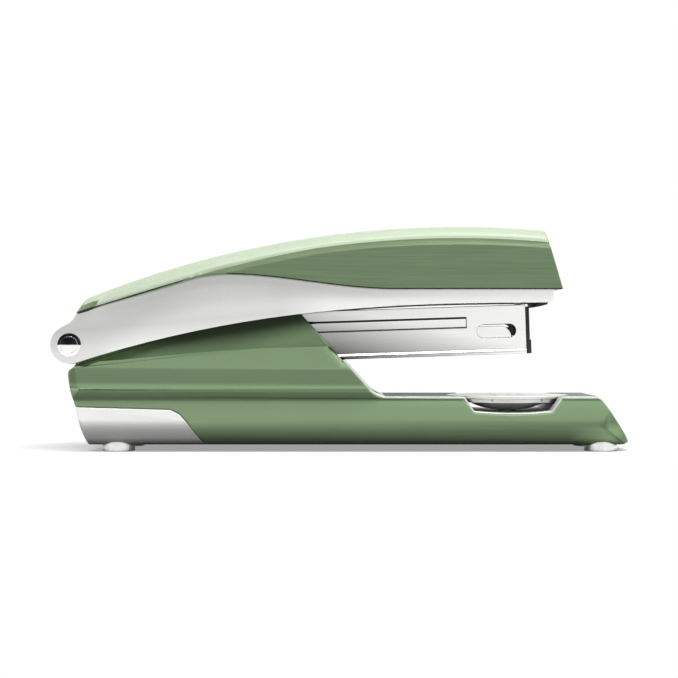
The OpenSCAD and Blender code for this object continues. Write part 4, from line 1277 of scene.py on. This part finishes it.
class STAPLER_OT_pusher(bpy.types.Operator):
    """Makes the pusher and its wound spring"""

    bl_idname = "stapler.pusher"
    bl_label = "Pusher"

    def execute(self, context):
        sizes = context.scene.stapler_sizes
        rounded_piece("staple_pusher", sizes.block_round)
        points = magazine_points("pusher_spring")
        rear, front = span(points, X)
        middle = sum(span(points, Z)) / 2
        inset = 1.1 * sizes.spring_wire
        forward = Matrix.Rotation(math.pi / 2, 4, "Y")
        mesh = repeated_mesh(coil_tree(), {
            "Turns": float(sizes.spring_turns), "Radius": sizes.spring_radius, "Wire": sizes.spring_wire,
            "Length": front - rear - 2 * inset, "Material": finish_for("pusher_spring"),
        }, IN_MAGAZINE @ Matrix.Translation((rear + inset, 0, middle)) @ forward)
        coil = publish("pusher_spring", mesh)
        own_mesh(coil)
        return {"FINISHED"}


class STAPLER_OT_driver(bpy.types.Operator):
    """Makes the driver blade and the dark block that holds it"""

    bl_idname = "stapler.driver"
    bl_label = "Driver"

    def execute(self, context):
        sizes = context.scene.stapler_sizes
        rounded_piece("driver_holder", sizes.block_round)
        rounded_piece("driver_blade", sizes.sheet_round)
        dress_node("driver_rivets")
        return {"FINISHED"}


# Heights of the screws' heads

SCREW_HEADS = {"bottom_screws": 0.6 * MM, "cover_screws": 1.0 * MM}


class STAPLER_OT_screws(bpy.types.Operator):
    """Makes the screws under the base and inside the cover"""

    bl_idname = "stapler.screws"
    bl_label = "Screws"

    def execute(self, context):
        tree = screw_tree()
        for node, head in SCREW_HEADS.items():
            pair = self.rear_and_front(frame["nodes"][node].data)
            rear, front = [Vector((sum(span(screw, X)) / 2, 0, span(screw, Z)[0])) for screw in pair]
            left, right = span(pair[0], X)
            low, high = span(pair[0], Z)
            mesh = repeated_mesh(tree, {
                "Count": 2, "Step": front - rear, "Pan": (right - left) / 2, "Head": head,
                "Rod": context.scene.stapler_sizes.screw_shank, "Shank": high - low - head,
                "Material": finish_for(node),
            }, Matrix.Translation(rear))
            publish(node, mesh)
        return {"FINISHED"}

    @staticmethod
    def rear_and_front(mesh):
        """The points of a node's two screws."""
        middle = sum(vert.co.x for vert in mesh.vertices) / len(mesh.vertices)
        rear = [vert.co for vert in mesh.vertices if vert.co.x < middle]
        front = [vert.co for vert in mesh.vertices if vert.co.x >= middle]
        return rear, front


# The return spring's flat heel, and the share of its free length over which it is bent

LEAF_SLACK = 0.05 * MM
LEAF_SLOPE = 0.8


class STAPLER_OT_inner_steel(bpy.types.Operator):
    """Dresses the chassis, the bottom plate, the leaf springs and their rivets"""

    bl_idname = "stapler.inner_steel"
    bl_label = "Inner Steel"

    def execute(self, context):
        sizes = context.scene.stapler_sizes
        for node in ("base_chassis", "bottom_plate"):
            rounded_piece(node, sizes.case_round)
        rounded_piece("arm_spring", sizes.sheet_round)
        leaf = merged_copy("return_spring")
        self.press_leaf(leaf)
        round_edges(leaf, sizes.sheet_round)
        publish_shaped("return_spring", leaf)
        for node in ("return_spring_rivets", "arm_spring_rivets"):
            dress_node(node)
        return {"FINISHED"}

    @staticmethod
    def press_leaf(leaf):
        """Bends the return spring down as far as the magazine can press it, so that it clears every pose."""
        heel = span(corners_of(leaf), Z)[0] + LEAF_SLACK
        bend = max(vert.co.x for vert in leaf.verts if vert.co.z < heel)
        tip = span(corners_of(leaf), X)[1]
        press = math.radians(JOINTS["magazine_swing"]["range_deg"][1])
        fall = (tip - HINGE.x) * math.tan(press)
        for vert in leaf.verts:
            share = max(0.0, vert.co.x - bend) / (LEAF_SLOPE * (tip - bend))
            vert.co.z -= fall * min(share, 1.0)


# The lamps, the floor, and the soft dark patch that reflections see in the sky ahead of the object

KEY_PLACE, KEY_TARGET = (0.1, -0.27, 0.65), (0.0, 0.0, 0.03)
TOP_PLACE, TOP_TARGET = (-0.2, 0.02, 0.6), (-0.2, 0.02, 0.03)
FLOOR_RADIUS = 12.0
FLOOR_SEEN = 0.35
FLOOR_DIM = 0.16
SHADOW_REACH = 0.06
SKY_LOW = 0.3
DUSK_LEFT = 0.19
DUSK_UP = 0.16
DUSK_WIDE = 0.32
DUSK_FLARE = 1.2
DUSK_UNDER = 0.09
DUSK_OVER = 0.9
DUSK_EDGE = 1.6
DUSK_DEPTH = 0.42
DUSK_MORE = 0.14
DUSK_GROWS = 9.0
FRONT_EDGE = 4.0
WHITE = (1, 1, 1, 1)


class STAPLER_OT_stage(bpy.types.Operator):
    """Sets the pale floor, the soft lamps and the camera"""

    bl_idname = "stapler.stage"
    bl_label = "Stage"

    def execute(self, context):
        scene = context.scene
        studio = scene.stapler_studio
        scene.view_settings.view_transform = "Standard"
        self.floor(scene, studio.floor)
        self.sky(scene, studio.sky)
        self.lamp("key_lamp", studio.key_power, KEY_PLACE, KEY_TARGET, size=(1.1, 0.22))
        self.lamp("top_lamp", studio.top_power, TOP_PLACE, TOP_TARGET, size=(1.6, 0.34))
        data = bpy.data.cameras.new("camera")
        data.lens = studio.lens
        data.sensor_width = 36.0
        data.clip_start, data.clip_end = 0.01, 50
        camera = bpy.data.objects.new("camera", data)
        camera.location = studio.camera_place
        camera.rotation_euler = (math.pi / 2, 0, 0)
        scene.collection.objects.link(camera)
        scene.camera = camera
        return {"FINISHED"}

    @staticmethod
    def floor(scene, tone):
        """A wide pale floor that is white to the camera away from the object's shadow."""
        made = bmesh.new()
        bmesh.ops.create_circle(made, cap_ends=True, segments=64, radius=FLOOR_RADIUS)
        mesh = bpy.data.meshes.new("floor")
        made.to_mesh(mesh)
        made.free()
        floor = bpy.data.objects.new("floor", mesh)
        scene.collection.objects.link(floor)
        material = bpy.data.materials.new("pale_floor")
        material.use_nodes = True
        material.node_tree.nodes.clear()
        mesh.materials.append(material)
        f = Finish(material.node_tree)
        where = f.node("ShaderNodeTexCoord", output="Object")
        aside = f.node("ShaderNodeVectorMath", {0: where}, operation="ABSOLUTE")
        beyond = f.node("ShaderNodeVectorMath", {0: aside, 1: (*CAD_BOX[1][:2], 0)}, operation="SUBTRACT")
        outside = f.node("ShaderNodeVectorMath", {0: beyond, 1: (0, 0, 0)}, operation="MAXIMUM")
        distance = f.node("ShaderNodeVectorMath", {0: outside}, output="Value", operation="LENGTH")
        far = f.rise(distance, 0.0, SHADOW_REACH, interpolation_type="SMOOTHSTEP")
        share = FLOOR_SEEN * f.ray("Camera") * (1.0 - far) + f.shown() * far
        colour = f.blend(f.shown(), shade(tone, FLOOR_DIM), shade(tone, 1.0))
        near = f.node("ShaderNodeBsdfDiffuse", {"Color": colour})
        white = f.node("ShaderNodeEmission", {"Color": WHITE, "Strength": 1.0})
        mixed = f.node("ShaderNodeMixShader", {0: share, 1: near, 2: white})
        f.node("ShaderNodeOutputMaterial", {"Surface": mixed})

    @staticmethod
    def sky(scene, level):
        """White to the camera, nearly so in reflections, and a softer light on the object."""
        world = bpy.data.worlds.new("studio")
        scene.world = world
        world.use_nodes = True
        world.node_tree.nodes.clear()
        f = Finish(world.node_tree)
        seen = f.ray("Camera")
        mirrored = f.shown() - seen
        where = f.node("ShaderNodeTexCoord", output="Generated")
        right, back, up = [f.node("ShaderNodeSeparateXYZ", {0: where}, output=axis) for axis in "XYZ"]
        soft = level * (SKY_LOW + (1.0 - SKY_LOW) * f.clamp(up))
        front = f.clamp(0.0 - back)
        over = f.sum("MAXIMUM", up - DUSK_UP)
        under = f.sum("MINIMUM", up - DUSK_UP)
        aside = (right + DUSK_LEFT) / (DUSK_WIDE + DUSK_FLARE * over)
        apart = aside * aside + under * under / DUSK_UNDER + over * over / DUSK_OVER
        dusk = f.clamp(DUSK_EDGE * (1.0 - apart))
        depth = DUSK_DEPTH + DUSK_MORE * f.clamp(DUSK_GROWS * over)
        mirror = 1.0 - depth * dusk * f.clamp(FRONT_EDGE * front)
        strength = seen + mirrored * mirror + (1.0 - seen - mirrored) * soft
        light = f.node("ShaderNodeBackground", {"Color": WHITE, "Strength": strength})
        f.node("ShaderNodeOutputWorld", {"Surface": light})

    @staticmethod
    def lamp(name, power, place, target, size):
        """A soft rectangular lamp that points at a target."""
        data = bpy.data.lights.new(name, "AREA")
        data.shape = "RECTANGLE"
        data.size, data.size_y = size
        data.energy = power
        lamp = bpy.data.objects.new(name, data)
        lamp.location = place
        aim = Vector(target) - Vector(place)
        lamp.rotation_euler = aim.to_track_quat("-Z", "Y").to_euler()
        bpy.context.scene.collection.objects.link(lamp)


OPERATORS = (
    STAPLER_OT_base_shell,
    STAPLER_OT_heel_trim,
    STAPLER_OT_deck,
    STAPLER_OT_feet,
    STAPLER_OT_anvil,
    STAPLER_OT_hinge,
    STAPLER_OT_magazine,
    STAPLER_OT_staples,
    STAPLER_OT_pusher,
    STAPLER_OT_lever_arm,
    STAPLER_OT_top_cover,
    STAPLER_OT_driver,
    STAPLER_OT_screws,
    STAPLER_OT_inner_steel,
    STAPLER_OT_stage,
)


class STAPLER_PT_panel(bpy.types.Panel):
    """Lists the stapler's pieces and sizes"""

    bl_idname = "STAPLER_PT_panel"
    bl_label = "Desk Stapler"
    bl_space_type = "VIEW_3D"
    bl_region_type = "UI"
    bl_category = "Stapler"

    def draw(self, context):
        layout = self.layout
        for operator in OPERATORS:
            layout.operator(operator.bl_idname)
        for group in ("stapler_sizes", "stapler_colours", "stapler_studio"):
            values = getattr(context.scene, group)
            box = layout.box()
            for name in values.__annotations__:
                box.prop(values, name)


GROUPS = (StaplerSizes, StaplerColours, StaplerStudio)


def register():
    """Registers the classes and hangs the sizes, colours and studio on the scene."""
    for item in (*GROUPS, *OPERATORS, STAPLER_PT_panel):
        bpy.utils.register_class(item)
    bpy.types.Scene.stapler_sizes = PointerProperty(type=StaplerSizes)
    bpy.types.Scene.stapler_colours = PointerProperty(type=StaplerColours)
    bpy.types.Scene.stapler_studio = PointerProperty(type=StaplerStudio)


def unregister():
    """Takes the sizes, colours and studio off the scene and unregisters the classes."""
    del bpy.types.Scene.stapler_studio
    del bpy.types.Scene.stapler_colours
    del bpy.types.Scene.stapler_sizes
    for item in reversed((*GROUPS, *OPERATORS, STAPLER_PT_panel)):
        bpy.utils.unregister_class(item)


def main():
    """Makes every piece and the stage."""
    register()
    for operator in OPERATORS:
        group, name = operator.bl_idname.split(".")
        getattr(getattr(bpy.ops, group), name)()


if __name__ == "__main__":
    main()
